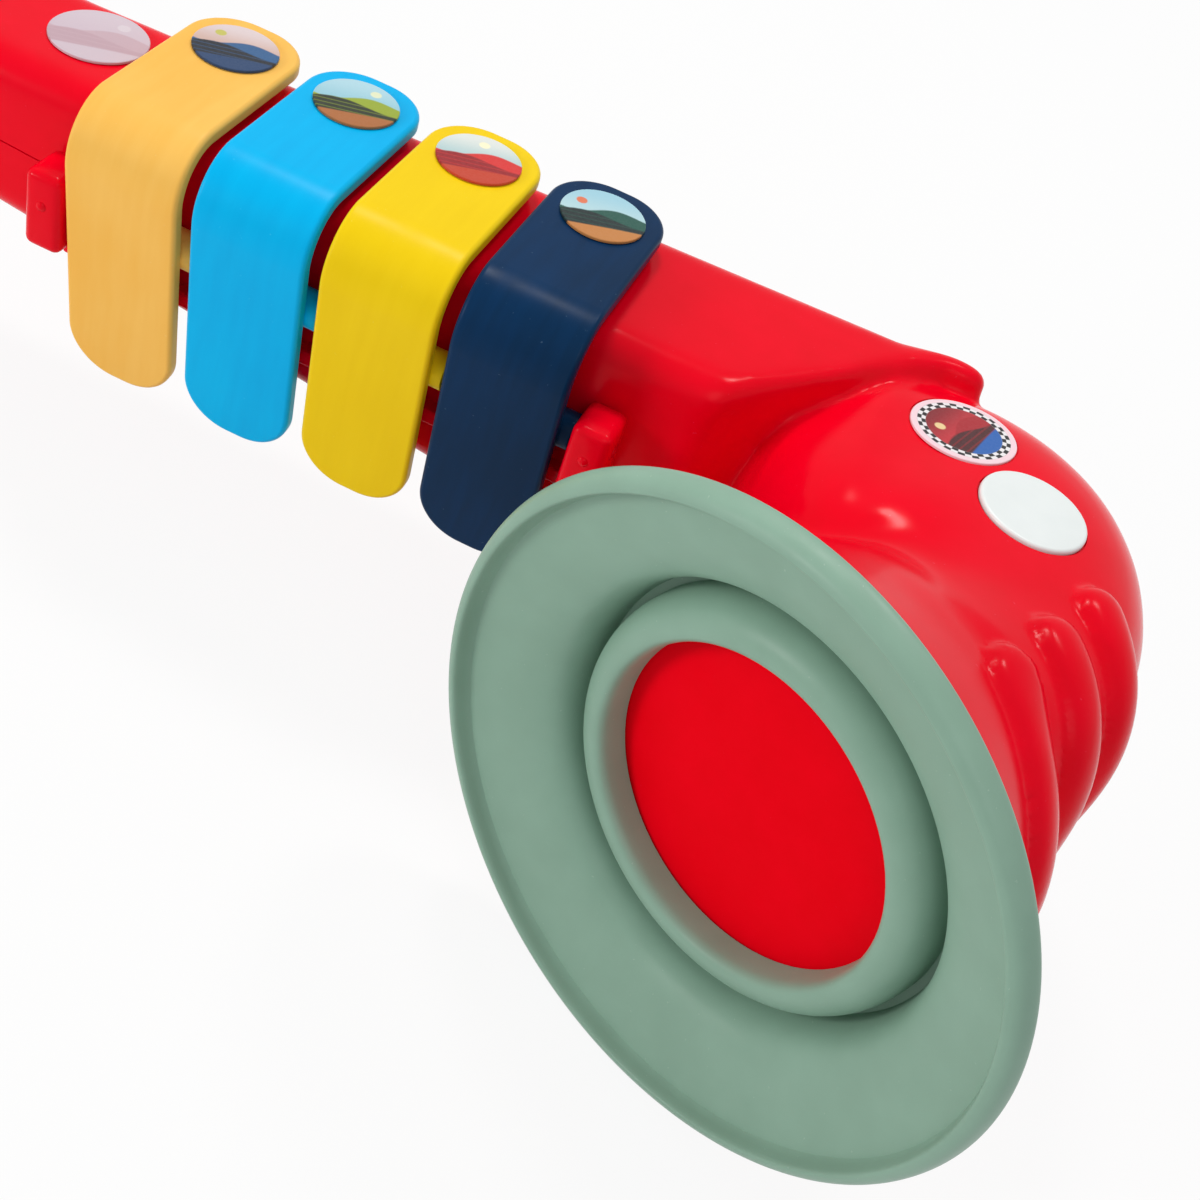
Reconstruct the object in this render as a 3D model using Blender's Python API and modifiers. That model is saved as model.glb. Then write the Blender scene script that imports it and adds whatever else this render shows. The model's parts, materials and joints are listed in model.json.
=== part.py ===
"""Toy saxophone, lying on its side: two red half shells, a turned bell, four sprung lever keys.

The tube runs along X from the neck (-X) to the bow (+X). Z is up, square to the shells'
parting plane, and the bell opens toward -Y. Lengths are in metres.
"""

import math

import bmesh
import bpy
from mathutils import Matrix, Vector
from mathutils.bvhtree import BVHTree

MM = 0.001

# Gaps between pieces
GAP = 0.3 * MM
RUNNING_GAP = 0.15 * MM
CUT_OVERRUN = 2 * MM
MERGE_DISTANCE = 0.001 * MM

# The tube: a tapered box with round edges, measured from the first key
TUBE_REACH_LEFT = 112 * MM
TUBE_STRAIGHT_LEFT = 30 * MM
TUBE_HALF_HEIGHT = 17.2 * MM
TUBE_RISE = 0.065
TUBE_END_HALF_HEIGHT = 12.5 * MM
TUBE_FRONT = 24.3 * MM
TUBE_END_FRONT = 20 * MM
TUBE_BACK = 9 * MM
TUBE_BACK_RISE = 0.055
TUBE_EDGE_RADIUS = 6 * MM
TONGUE_START = 101 * MM
TONGUE_LENGTH = 41 * MM
TONGUE_DROP = 3.5 * MM
TONGUE_EDGE_RADIUS = 3 * MM
TONGUE_EDGE_SHARE = 0.35
LEAST_WIDTH = 1.2 * MM
# How far along the tongue, how far its front edge has crossed the tube there, and its share of the drop
TONGUE_SHARES = (
    (0.0, 0.0, 0.0),
    (0.06, 0.03, 0.0),
    (0.13, 0.11, 0.0),
    (0.25, 0.267, 0.0),
    (0.44, 0.495, 0.0),
    (0.61, 0.705, 0.0),
    (0.8, 0.865, 0.0),
    (0.9, 0.885, 0.08),
    (0.97, 0.9, 0.4),
    (1.0, 0.92, 1.0),
)
WALL = 2.2 * MM
SECTION_POINTS = 32
CORNER_STEPS = 3

# The bow: sections that fan out from a pivot in front of the tube
PIVOT_X = 127 * MM
PIVOT_Y = -42 * MM
BOW_REACH = 60 * MM
BOW_HALF_HEIGHT = 27 * MM
BOW_TURN = math.radians(116.5)
BOW_INNER_SHARE = 0.05
BOW_POWER = 4.0
# The bow's rounded start under the tongue: lead before the pivot, front edge and back edge as shares of
# the reach, half height and power
SHOULDER_SHARES = (
    (0.265, 0.49, 0.79, 0.16, 0.6),
    (0.23, 0.36, 0.89, 0.36, 0.64),
    (0.193, 0.27, 0.93, 0.48, 0.7),
    (0.147, 0.183, 0.943, 0.6, 0.78),
    (0.093, 0.108, 0.952, 0.72, 0.87),
    (0.043, 0.062, 0.958, 0.81, 0.95),
)
# Turn reached, reach from the pivot, half height and power, each as a share of the whole
BOW_SHARES = (
    (0.0, 0.965, 0.865, 1.0),
    (0.1, 1.0, 0.9, 1.0),
    (0.18, 1.045, 0.94, 0.97),
    (0.27, 1.08, 0.98, 0.92),
    (0.36, 1.095, 1.005, 0.86),
    (0.46, 1.075, 1.02, 0.8),
    (0.58, 1.02, 1.035, 0.74),
    (0.72, 0.945, 1.055, 0.69),
    (0.86, 0.9, 1.1, 0.63),
    (1.0, 0.89, 1.16, 0.58),
)

# The horn: round sections along the bell's axis
HORN_LENGTH = 29.2 * MM
HORN_TAIL = 20 * MM
HORN_POWER = 2.1
HORN_SIDES = 28
# Distance along the horn, half width and half height as shares
HORN_SHARES = (
    (0.0, 0.42, 0.45),
    (0.18, 0.64, 0.62),
    (0.38, 0.79, 0.74),
    (0.6, 0.89, 0.83),
    (0.84, 0.96, 0.94),
    (1.0, 1.0, 1.0),
)

# Finger ribs, side by side round the outside of the bow, each leaning a little from square to the bell's axis
RIB_COUNT = 3
RIB_FIRST = 2.7 * MM
RIB_PITCH = 14.2 * MM
RIB_SPAN = math.radians(71)
RIB_LEAN = math.radians(20)
RIB_RADIUS = 3.2 * MM
RIB_PROUD = 2.1 * MM
RIB_STEPS = 13
RIB_END_SHARE = 0.55

# The bell
BELL_RADIUS = 54 * MM
BELL_DEPTH = 19 * MM
BELL_STANDOFF = 11.5 * MM
BELL_OFFSET = 23.5 * MM
BELL_STEPS = 40
BELL_ROLL = 2.4 * MM
# The bell's outline, from the rim round its back to the throat and out again over the dish
BELL_ROLL_SHARES = ((0.45, 0.0), (0.8, 0.3), (1.0, 1.0), (0.7, 1.7), (0.0, 2.0))
BELL_BACK_SHARES = ((0.93, 0.52), (0.86, 0.62), (0.785, 1.0))
COLLAR_SHARES = (
    (1.02, 0.56),
    (1.05, 0.49),
    (1.1, 0.455),
    (1.155, 0.45),
    (1.21, 0.475),
    (1.255, 0.54),
    (1.27, 0.63),
    (1.27, 0.75),
)
BELL_DISH_SHARES = (
    (0.655, 0.75),
    (0.665, 0.62),
    (0.685, 0.49),
    (0.72, 0.395),
    (0.77, 0.32),
    (0.83, 0.255),
    (0.88, 0.21),
    (0.925, 0.165),
    (0.94, 0.05),
    (0.948, 0.0),
)
SPIGOT_RADIUS = 37.6 * MM
THROAT_RADIUS = 26.4 * MM
THROAT_DEPTH = 14 * MM
THROAT_DISC_THICKNESS = 2 * MM
THROAT_DISC_EDGE = 31.3 * MM
SOCKET_WALL = 2.7 * MM

# The keys, in the sloping plane of their tops
KEY_COUNT = 4
KEY_PITCH = 23.5 * MM
KEY_WIDTH = 20.8 * MM
KEY_THICKNESS = 2.6 * MM
KEY_TOP_ABOVE_TUBE = 5.2 * MM
KEY_BACK = 11 * MM
KEY_FRONT = 36 * MM
KEY_DROP = 54.5 * MM
KEY_BEND_RADIUS = 10.8 * MM
KEY_END_RADIUS = 9 * MM
KEY_FLAP_LEAN = math.radians(6)
KEY_BEND_STEPS = 6
KEY_END_STEPS = 5
KEY_EDGE_STEPS = 3
KEY_TIP_SHARE = 0.22
KEY_END_CROWDING = 1.5

# The hinge
HINGE_Y = -28 * MM
HINGE_Z = -22 * MM
ROD_RADIUS = 1.5 * MM
BARREL_RADIUS = 3.3 * MM
BARREL_LEAD = 10.9 * MM
WEB_HALF_SHARE = 0.8
LUG_WIDTH = 7 * MM
LUG_FRONT = 34 * MM
LUG_TOP = 6 * MM
LUG_BOTTOM = 9 * MM
LUG_ROOT_HEIGHT = 5 * MM
LUG_ROUND = 1.6 * MM
PIP_RADIUS = 1.1 * MM
LEDGE_REACH = 2.8 * MM
LEDGE_DROP = 10 * MM
LEDGE_HEIGHT = 3 * MM
LEDGE_ROUND = 0.5 * MM
ROUND_STEPS = 16

# Tone holes, pads and reeds, in the middle of the tube's top
TONE_Y = -8 * MM
TONE_HOLE_RADIUS = 4 * MM
TONE_RIM_RADIUS = 6 * MM
TONE_RIM_HEIGHT = 0.6 * MM
PAD_RADIUS = 7 * MM
PAD_STEPS = 20
REED_PLATE_SIZE = (12 * MM, 17 * MM, 1.4 * MM)
REED_SLOT = (3.4 * MM, 10 * MM)
REED_SIZE = (2.6 * MM, 13 * MM, 0.4 * MM)

# Key springs, wound round the rod between the two barrels of a key
SPRING_ROOM = 6.4 * MM
SPRING_RADIUS = 2.3 * MM
SPRING_WIRE = 0.35 * MM
SPRING_CURLS = 4
SPRING_CURL_POINTS = 9
SPRING_LEG_DROP = 6 * MM
SPRING_LEAST_GAP = 0.4 * MM

# Labels and the white button
LABEL_THICKNESS = 0.3 * MM
LABEL_RADIUS = 7.5 * MM
BODY_LABEL_RADIUS = 8.6 * MM
BODY_LABEL_PLACE = (-22.5 * MM, -6.5 * MM)
BOW_LABEL_RADIUS = 9.3 * MM
BOW_LABEL_PLACE = (140.8 * MM, -3.2 * MM)
BUTTON_RADIUS = 9.4 * MM
BUTTON_THICKNESS = 1.2 * MM
BUTTON_ROUND = 0.5 * MM
BUTTON_PLACE = (155.3 * MM, -17.8 * MM)
LABEL_SINK = 0.2 * MM
BUTTON_SINK = 0.7 * MM
LABEL_STEPS = 24
SEAT_SAMPLES = 8

# Neck and mouthpiece
NECK_RADIUS = 9.5 * MM
NECK_BORE = 6.5 * MM
NECK_RUN = 26 * MM
NECK_BEND_RADIUS = 34 * MM
NECK_BEND = math.radians(62)
NECK_TAIL = 9 * MM
NECK_BEND_STEPS = 7
NECK_SPIGOT = 10 * MM
NECK_COLLAR_RADIUS = 12.2 * MM
NECK_COLLAR_LENGTH = 5 * MM
MOUTHPIECE_LENGTH = 56 * MM
MOUTHPIECE_RADIUS = 12.5 * MM
MOUTHPIECE_TIP_RADIUS = 8 * MM
MOUTHPIECE_SOCKET = 12 * MM
MOUTHPIECE_BORE = 3.2 * MM
MOUTHPIECE_BEAK = 34 * MM
MOUTHPIECE_BORE_SHORT = 11 * MM
MOUTHPIECE_TIP = 4.4 * MM
MOUTHPIECE_SLOT = (11 * MM, 1.8 * MM)
# Radius and distance from the base, from the tip's end of the outline down to the base
MOUTHPIECE_SHARES = ((0.93, 0.45), (0.93, 0.3), (1.0, 0.26), (1.0, 0.03), (0.94, 0.0), (0.0, 0.0))
MOUTHPIECE_STEPS = 24

# Screws that hold the halves together, put in from below
SCREW_PAST_NECK = 10 * MM
SCREW_PLACES = (
    (NECK_SPIGOT - TUBE_REACH_LEFT + SCREW_PAST_NECK, -8 * MM),
    (-45 * MM, -8 * MM),
    (11.75 * MM, -6 * MM),
    (98 * MM, -4 * MM),
    (160 * MM, -14 * MM),
    (154 * MM, -58 * MM),
    (122 * MM, -48 * MM),
)
SCREW_RADIUS = 1.4 * MM
SCREW_HEAD_RADIUS = 2.8 * MM
SCREW_HEAD_HEIGHT = 1.8 * MM
SCREW_GRIP = 7 * MM
SCREW_REACH = 8 * MM
SCREW_SLOT = (0.6 * MM, 0.7 * MM)
BOSS_RADIUS = 4.2 * MM

# Colours, roughness and metallic value of each material
RED = ((0.86, 0.004, 0.02), 0.22, 0.0)
GREY_GREEN = ((0.26, 0.41, 0.33), 0.45, 0.0)
ORANGE = ((0.93, 0.47, 0.06), 0.3, 0.0)
LIGHT_BLUE = ((0.0, 0.43, 0.8), 0.3, 0.0)
YELLOW = ((0.88, 0.63, 0.02), 0.3, 0.0)
NAVY = ((0.005, 0.04, 0.12), 0.3, 0.0)
WHITE = ((0.85, 0.88, 0.87), 0.35, 0.0)
PAPER = ((0.7, 0.72, 0.72), 0.5, 0.0)
SOFT_PAD = ((0.06, 0.06, 0.065), 0.9, 0.0)
STEEL = ((0.6, 0.6, 0.62), 0.3, 1.0)
BRASS = ((0.75, 0.52, 0.2), 0.35, 1.0)
KEY_FINISHES = (("orange", ORANGE), ("light_blue", LIGHT_BLUE), ("yellow", YELLOW), ("navy", NAVY))

# Directions worked out from the sizes above
SLOPE = math.atan(TUBE_RISE)
KEY_FRAME = Matrix.Translation((0, 0, TUBE_HALF_HEIGHT + KEY_TOP_ABOVE_TUBE)) @ Matrix.Rotation(-SLOPE, 4, "Y")
BELL_AXIS = Vector((math.cos(BOW_TURN), -math.sin(BOW_TURN), 0))
BELL_SIDE = Vector((math.sin(BOW_TURN), math.cos(BOW_TURN), 0))
PIVOT = Vector((PIVOT_X, PIVOT_Y, 0))
UP = Vector((0, 0, 1))
TUBE_SIDE = Vector((0, 1, 0))
TUBE_START = Vector((-1, 0, 0))
HORN_END_RADIUS = SPIGOT_RADIUS + GAP + SOCKET_WALL


def clear_scene():
    for obj in list(bpy.data.objects):
        bpy.data.objects.remove(obj, do_unlink=True)


def new_collection(name):
    made = bpy.data.collections.new(name)
    bpy.context.scene.collection.children.link(made)
    return made


clear_scene()
PARTS = new_collection("toy_saxophone")
CUTTERS = new_collection("cutters")
CUTTERS.hide_render = True
FINISHES = {}


def finish(name, look):
    """The material of this name, made once."""
    if name not in FINISHES:
        colour, roughness, metallic = look
        made = bpy.data.materials.new(name)
        made.use_nodes = True
        shader = made.node_tree.nodes["Principled BSDF"]
        shader.inputs["Base Color"].default_value = (*colour, 1)
        shader.inputs["Roughness"].default_value = roughness
        shader.inputs["Metallic"].default_value = metallic
        FINISHES[name] = made
    return FINISHES[name]


def empty(name, parent=None, matrix=None):
    made = bpy.data.objects.new(name, None)
    made.matrix_basis = matrix or Matrix()
    made.parent = parent
    PARTS.objects.link(made)
    return made


def add(name, mesh, look=None, parent=None, matrix=None):
    """A piece with its look, or a cutter when it has none."""
    obj = bpy.data.objects.new(name, mesh)
    obj.matrix_basis = matrix or Matrix()
    obj.parent = parent
    if look is None:
        obj.hide_render = True
        obj.display_type = "WIRE"
        CUTTERS.objects.link(obj)
    else:
        mesh.materials.append(finish(name, look))
        PARTS.objects.link(obj)
    return obj


def mesh_of(name, bm, smooth_angle=math.radians(35)):
    """The bmesh as a mesh with its faces out, smooth where it is round."""
    bmesh.ops.recalc_face_normals(bm, faces=bm.faces)
    mesh = bpy.data.meshes.new(name)
    bm.to_mesh(mesh)
    bm.free()
    mesh.shade_smooth()
    mesh.set_sharp_from_angle(angle=smooth_angle)
    return mesh


def loft_mesh(name, sections):
    """A skin over sections with as many points each, closed by a face at both ends."""
    bm = bmesh.new()
    rings = [[bm.verts.new(point) for point in section] for section in sections]
    count = len(rings[0])
    for ring, following in zip(rings, rings[1:]):
        for i in range(count):
            j = (i + 1) % count
            bm.faces.new((ring[i], ring[j], following[j], following[i]))
    bm.faces.new(rings[0])
    bm.faces.new(reversed(rings[-1]))
    return mesh_of(name, bm)


def box_mesh(name, low, high, round_edges=0.0):
    bm = bmesh.new()
    low, high = Vector(low), Vector(high)
    size = high - low
    matrix = Matrix.Translation((low + high) / 2) @ Matrix.Diagonal((*size, 1))
    bmesh.ops.create_cube(bm, size=1, matrix=matrix)
    if round_edges:
        bmesh.ops.bevel(bm, geom=bm.edges[:], offset=round_edges, segments=2, affect="EDGES", profile=0.5)
    return mesh_of(name, bm)


def turn_to(direction):
    """The turn that points Z along a direction of any length."""
    return direction.normalized().to_track_quat("Z", "Y").to_matrix().to_4x4()


def rod_mesh(name, start, end, radius, steps=ROUND_STEPS):
    """A cylinder from one point to another."""
    start, end = Vector(start), Vector(end)
    along = end - start
    matrix = Matrix.Translation((start + end) / 2) @ turn_to(along)
    bm = bmesh.new()
    bmesh.ops.create_cone(
        bm, cap_ends=True, segments=steps, radius1=radius, radius2=radius, depth=along.length, matrix=matrix
    )
    return mesh_of(name, bm)


def evaluated_mesh(obj):
    """The object's mesh with its modifiers, its loose caps welded."""
    bpy.context.view_layer.update()
    graph = bpy.context.evaluated_depsgraph_get()
    mesh = bpy.data.meshes.new_from_object(obj.evaluated_get(graph))
    bm = bmesh.new()
    bm.from_mesh(mesh)
    bmesh.ops.remove_doubles(bm, verts=bm.verts, dist=MERGE_DISTANCE)
    bpy.data.meshes.remove(mesh)
    return mesh_of(obj.name, bm)


def boolean(obj, other, operation):
    modifier = obj.modifiers.new(f"{operation} {other.name}", "BOOLEAN")
    modifier.operation = operation
    modifier.object = other


def join(obj, *meshes):
    """Adds meshes to the object, each as a helper solid in the object's own space."""
    for mesh in meshes:
        boolean(obj, add(f"{obj.name} {mesh.name}", mesh, parent=obj), "UNION")


def cut(obj, *meshes):
    for mesh in meshes:
        boolean(obj, add(f"{obj.name} {mesh.name}", mesh, parent=obj), "DIFFERENCE")


def bake(obj):
    """Replaces the object's mesh by what its modifiers make, so that later steps stay quick."""
    mesh = evaluated_mesh(obj)
    obj.modifiers.clear()
    for material in obj.data.materials:
        if material and material.name not in mesh.materials:
            mesh.materials.append(material)
    obj.data = mesh


def turned_mesh(name, outline, steps, closed=True):
    """An outline of (radius, height) pairs turned round Z: closed, or open from axis to axis."""
    mesh = bpy.data.meshes.new(name)
    count = len(outline)
    edges = [(i, (i + 1) % count) for i in range(count if closed else count - 1)]
    mesh.from_pydata([(radius, 0, height) for radius, height in outline], edges, [])
    obj = add(f"{name} outline", mesh)
    screw = obj.modifiers.new("turn", "SCREW")
    screw.axis = "Z"
    screw.steps = steps
    screw.render_steps = steps
    screw.use_merge_vertices = True
    screw.merge_threshold = MERGE_DISTANCE
    made = evaluated_mesh(obj)
    bpy.data.objects.remove(obj)
    made.name = name
    return made


def disc_mesh(name, radius, thickness, round_edge=0.0, steps=LABEL_STEPS):
    """A disc standing on Z=0, its upper edge rounded if asked."""
    bm = bmesh.new()
    matrix = Matrix.Translation((0, 0, thickness / 2))
    bmesh.ops.create_cone(
        bm, cap_ends=True, segments=steps, radius1=radius, radius2=radius, depth=thickness, matrix=matrix
    )
    if round_edge:
        top = [e for e in bm.edges if min(v.co.z for v in e.verts) > thickness / 2]
        bmesh.ops.bevel(bm, geom=top, offset=round_edge, segments=2, affect="EDGES", profile=0.5)
    return mesh_of(name, bm)


def superellipse(centre, across, half_width, half_height, power, count=SECTION_POINTS):
    """Points round a section that stands square to the parting plane."""
    points = []
    for i in range(count):
        angle = math.tau * i / count
        c, s = math.cos(angle), math.sin(angle)
        wide = math.copysign(abs(c) ** (2 / power), c) * half_width
        high = math.copysign(abs(s) ** (2 / power), s) * half_height
        points.append(centre + across * wide + UP * high)
    return points


def tube_half_height(x):
    """Half the tube's thickness at a place along it."""
    if x > -TUBE_STRAIGHT_LEFT:
        return TUBE_HALF_HEIGHT + TUBE_RISE * x
    start = TUBE_HALF_HEIGHT - TUBE_RISE * TUBE_STRAIGHT_LEFT
    share = (x + TUBE_STRAIGHT_LEFT) / (TUBE_STRAIGHT_LEFT - TUBE_REACH_LEFT)
    return start + (TUBE_END_HALF_HEIGHT - start) * share


def tube_front(x):
    if x > -TUBE_STRAIGHT_LEFT:
        return -TUBE_FRONT
    share = (x + TUBE_STRAIGHT_LEFT) / (TUBE_STRAIGHT_LEFT - TUBE_REACH_LEFT)
    return -TUBE_FRONT + (TUBE_FRONT - TUBE_END_FRONT) * share


def tube_back(x):
    return TUBE_BACK + TUBE_BACK_RISE * x


def tube_section(x, front, inset, drop=0.0, front_edge=TUBE_EDGE_RADIUS):
    """A round-edged rectangle across the tube; its front edges can have a radius of their own."""
    back = tube_back(x) - inset
    front = min(front + inset, back - LEAST_WIDTH)
    half = tube_half_height(x) - inset - drop
    points = []
    edges = (TUBE_EDGE_RADIUS, front_edge, front_edge, TUBE_EDGE_RADIUS)
    corners = ((back, half, 0), (front, half, 1), (front, -half, 2), (back, -half, 3))
    for (y, z, quarter), edge in zip(corners, edges):
        radius = max(min(edge - inset, (back - front) / 2 - GAP, half - GAP), GAP)
        centre_y = y - math.copysign(radius, y - (front + back) / 2)
        centre_z = z - math.copysign(radius, z)
        for step in range(CORNER_STEPS + 1):
            angle = math.radians(90) * (quarter + step / CORNER_STEPS)
            points.append(Vector((x, centre_y + radius * math.cos(angle), centre_z + radius * math.sin(angle))))
    return points


def tube_mesh(name, inset=0.0):
    """The straight tube; its front edge crosses to the back at the bow end, as a tongue."""
    sections = []
    for x in (-TUBE_REACH_LEFT + inset, -TUBE_STRAIGHT_LEFT, 0):
        sections.append(tube_section(x, tube_front(x), inset))
    for along, across, drop in TONGUE_SHARES:
        x = TONGUE_START - inset + along * TONGUE_LENGTH
        width = tube_back(x) + TUBE_FRONT
        edge = TUBE_EDGE_RADIUS + (TONGUE_EDGE_RADIUS - TUBE_EDGE_RADIUS) * min(along / TONGUE_EDGE_SHARE, 1)
        sections.append(tube_section(x, -TUBE_FRONT + across * width, inset, drop * TONGUE_DROP, edge))
    return loft_mesh(name, sections)


def bow_section(station, inset=0.0):
    """Centre, sideways direction, half width, half height and power of the bow at one of its stations."""
    turn, reach, high, power = station
    across = Vector((math.sin(turn * BOW_TURN), math.cos(turn * BOW_TURN), 0))
    outer = reach * BOW_REACH
    inner = BOW_INNER_SHARE * BOW_REACH
    centre = PIVOT + across * (outer + inner) / 2
    return centre, across, (outer - inner) / 2 - inset, high * BOW_HALF_HEIGHT - inset, power * BOW_POWER


def bow_mesh(name, inset=0.0):
    """The bow: from its rounded start, inside the tube, round to the start of the horn."""
    sections = []
    for lead, front, back, high, power in SHOULDER_SHARES:
        centre = PIVOT + BOW_REACH * (TUBE_SIDE * (front + back) / 2 + TUBE_START * lead)
        half_width = (back - front) / 2 * BOW_REACH - inset
        half_height = max(high * BOW_HALF_HEIGHT - inset, GAP)
        centre -= TUBE_START * inset
        sections.append(superellipse(centre, TUBE_SIDE, half_width, half_height, power * BOW_POWER))
    sections += [superellipse(*bow_section(station, inset)) for station in BOW_SHARES]
    return loft_mesh(name, sections)


def horn_centre(along):
    """A point on the bell's axis, at this distance past the pivot."""
    return PIVOT + BELL_SIDE * BELL_OFFSET + BELL_AXIS * along


def horn_mesh(name, inset=0.0, end=0.0):
    """The flare behind the bell."""
    sections = []
    for along, wide, high in HORN_SHARES:
        centre = horn_centre(-HORN_TAIL + inset + along * (HORN_LENGTH + HORN_TAIL + end - inset))
        half_width = wide * HORN_END_RADIUS - inset
        half_height = high * HORN_END_RADIUS - inset
        sections.append(superellipse(centre, BELL_SIDE, half_width, half_height, HORN_POWER, HORN_SIDES))
    return loft_mesh(name, sections)


def surface_of(obj):
    """A tree of the object's faces, to find where a ray meets them."""
    bm = bmesh.new()
    bm.from_mesh(obj.data)
    tree = BVHTree.FromBMesh(bm)
    bm.free()
    return tree


def rib_mesh(name, surface, along):
    """A half-sunk bar that follows the form's outer side, in a plane through the bell's axis."""
    middle = horn_centre(along)
    curve = bpy.data.curves.new(name, "CURVE")
    curve.dimensions = "3D"
    curve.bevel_depth = RIB_RADIUS
    curve.bevel_resolution = 2
    curve.use_fill_caps = True
    spline = curve.splines.new("POLY")
    spline.points.add(RIB_STEPS - 1)
    for i, point in enumerate(spline.points):
        share = 2 * i / (RIB_STEPS - 1) - 1
        angle = RIB_SPAN * share
        level = BELL_SIDE * math.cos(RIB_LEAN) + BELL_AXIS * math.sin(RIB_LEAN)
        out = level * math.cos(angle) + UP * math.sin(angle)
        place, _normal, _face, _distance = surface.ray_cast(middle + out * 2 * BOW_REACH, -out)
        point.co = (*(place - out * (RIB_RADIUS - RIB_PROUD)), 1)
        point.radius = RIB_END_SHARE if abs(share) == 1 else 1
    obj = bpy.data.objects.new(name, curve)
    CUTTERS.objects.link(obj)
    mesh = evaluated_mesh(obj)
    bpy.data.objects.remove(obj)
    return mesh


def body_solid(name, inset):
    """The outer form, or the hollow when inset by the wall."""
    solid = add(name, tube_mesh(f"{name} tube", inset))
    join(solid, bow_mesh("bow", inset), horn_mesh("horn", inset, inset and CUT_OVERRUN))
    bake(solid)
    return solid


def boss_meshes(low, high):
    """The columns that take the screws, between two heights."""
    for i, (x, y) in enumerate(SCREW_PLACES):
        yield rod_mesh(f"boss {i + 1}", (x, y, low), (x, y, high), BOSS_RADIUS, steps=16)


def half_shell(name, outer, hollow, side):
    """One half of the body, with its bosses grown from the wall to the parting plane."""
    far = max(BELL_RADIUS, BOW_REACH) * side
    half = add(name, outer.data.copy(), RED)
    half.data.materials.clear()
    half.data.materials.append(finish(name, RED))
    keep = box_mesh("half space", *half_space(GAP / 2 * side, far))
    inside = add(f"{name} hollow", hollow.data.copy())
    for mesh in boss_meshes(0, far):
        boolean(inside, add(f"{name} {mesh.name}", mesh), "DIFFERENCE")
    bake(inside)
    boolean(half, inside, "DIFFERENCE")
    boolean(half, add(f"{name} half space", keep), "INTERSECT")
    bake(half)
    return half


def half_space(near, far):
    """Corners of a block on one side of the parting plane."""
    reach = 4 * TUBE_REACH_LEFT
    low, high = sorted((near, far))
    return (-reach, -reach, low), (reach, reach, high)


def hinge_point(x):
    """A point of the hinge line, in the key plane's space."""
    return Vector((x, HINGE_Y, HINGE_Z))


def lug_meshes():
    """The lugs' blocks, their rod hole, the pips and the ledge, all in the key plane's space."""
    first = -BARREL_LEAD - GAP
    last = first + KEY_COUNT * KEY_PITCH + GAP
    solids = []
    for label, near, away in (("left lug", first, -1), ("right lug", last, 1)):
        low, high = sorted((near, near + away * LUG_WIDTH))
        top, bottom = HINGE_Z + LUG_TOP, HINGE_Z - LUG_BOTTOM
        solids.append(
            box_mesh(label, (low, -LUG_FRONT, bottom), (high, -TUBE_FRONT - GAP, top), LUG_ROUND)
        )
        middle = (low + high) / 2
        face = (middle, -LUG_FRONT + PIP_RADIUS / 2, HINGE_Z)
        pip = bmesh.new()
        bmesh.ops.create_uvsphere(
            pip, u_segments=10, v_segments=8, radius=PIP_RADIUS, matrix=Matrix.Translation(face)
        )
        solids.append(mesh_of(f"{label} pip", pip))
        root_top = parting_in_key_space(high) - GAP - LUG_ROUND
        root_bottom = min(bottom + LUG_ROUND / 2, root_top - LUG_ROOT_HEIGHT)
        solids.append(
            box_mesh(
                f"{label} root",
                (low + LUG_ROUND / 2, -LUG_FRONT + LUG_ROUND, root_bottom),
                (high - LUG_ROUND / 2, -TUBE_FRONT + WALL / 2, root_top),
            )
        )
    ledge_top = HINGE_Z - LEDGE_DROP
    solids.append(
        box_mesh(
            "ledge",
            (first - LUG_WIDTH / 2, -TUBE_FRONT - LEDGE_REACH, ledge_top - LEDGE_HEIGHT),
            (last + LUG_WIDTH / 2, -TUBE_FRONT + WALL / 2, ledge_top),
            LEDGE_ROUND,
        )
    )
    return solids


def parting_in_key_space(x):
    """Height of the parting plane at a place along the keys."""
    return -(TUBE_HALF_HEIGHT + KEY_TOP_ABOVE_TUBE) / math.cos(SLOPE) - x * math.tan(SLOPE)


def rod_span():
    """Ends of the hinge rod, just inside the lugs' outer faces."""
    first = -BARREL_LEAD - GAP - LUG_WIDTH
    last = first + KEY_COUNT * KEY_PITCH + GAP + 2 * LUG_WIDTH
    return first + GAP, last - GAP


def in_key_frame(meshes):
    for mesh in meshes:
        mesh.transform(KEY_FRAME)
    return meshes


def finish_upper_half(half):
    """Tone holes with low rims, and the screws' pilot holes."""
    holes = []
    for i in range(KEY_COUNT):
        x = i * KEY_PITCH
        top = -KEY_TOP_ABOVE_TUBE
        base, crown = (x, TONE_Y, top - WALL / 2), (x, TONE_Y, top + TONE_RIM_HEIGHT)
        rim = rod_mesh(f"rim {i + 1}", base, crown, TONE_RIM_RADIUS)
        join(half, *in_key_frame([rim]))
        holes.append(
            rod_mesh(
                f"tone hole {i + 1}",
                (x, TONE_Y, top - WALL - CUT_OVERRUN),
                (x, TONE_Y, top + TONE_RIM_HEIGHT + CUT_OVERRUN),
                TONE_HOLE_RADIUS,
            )
        )
    cut(half, *in_key_frame(holes))
    for i, (x, y) in enumerate(SCREW_PLACES):
        low, high = (x, y, -CUT_OVERRUN), (x, y, SCREW_REACH + GAP)
        cut(half, rod_mesh(f"pilot {i + 1}", low, high, SCREW_RADIUS + GAP, steps=12))


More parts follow.
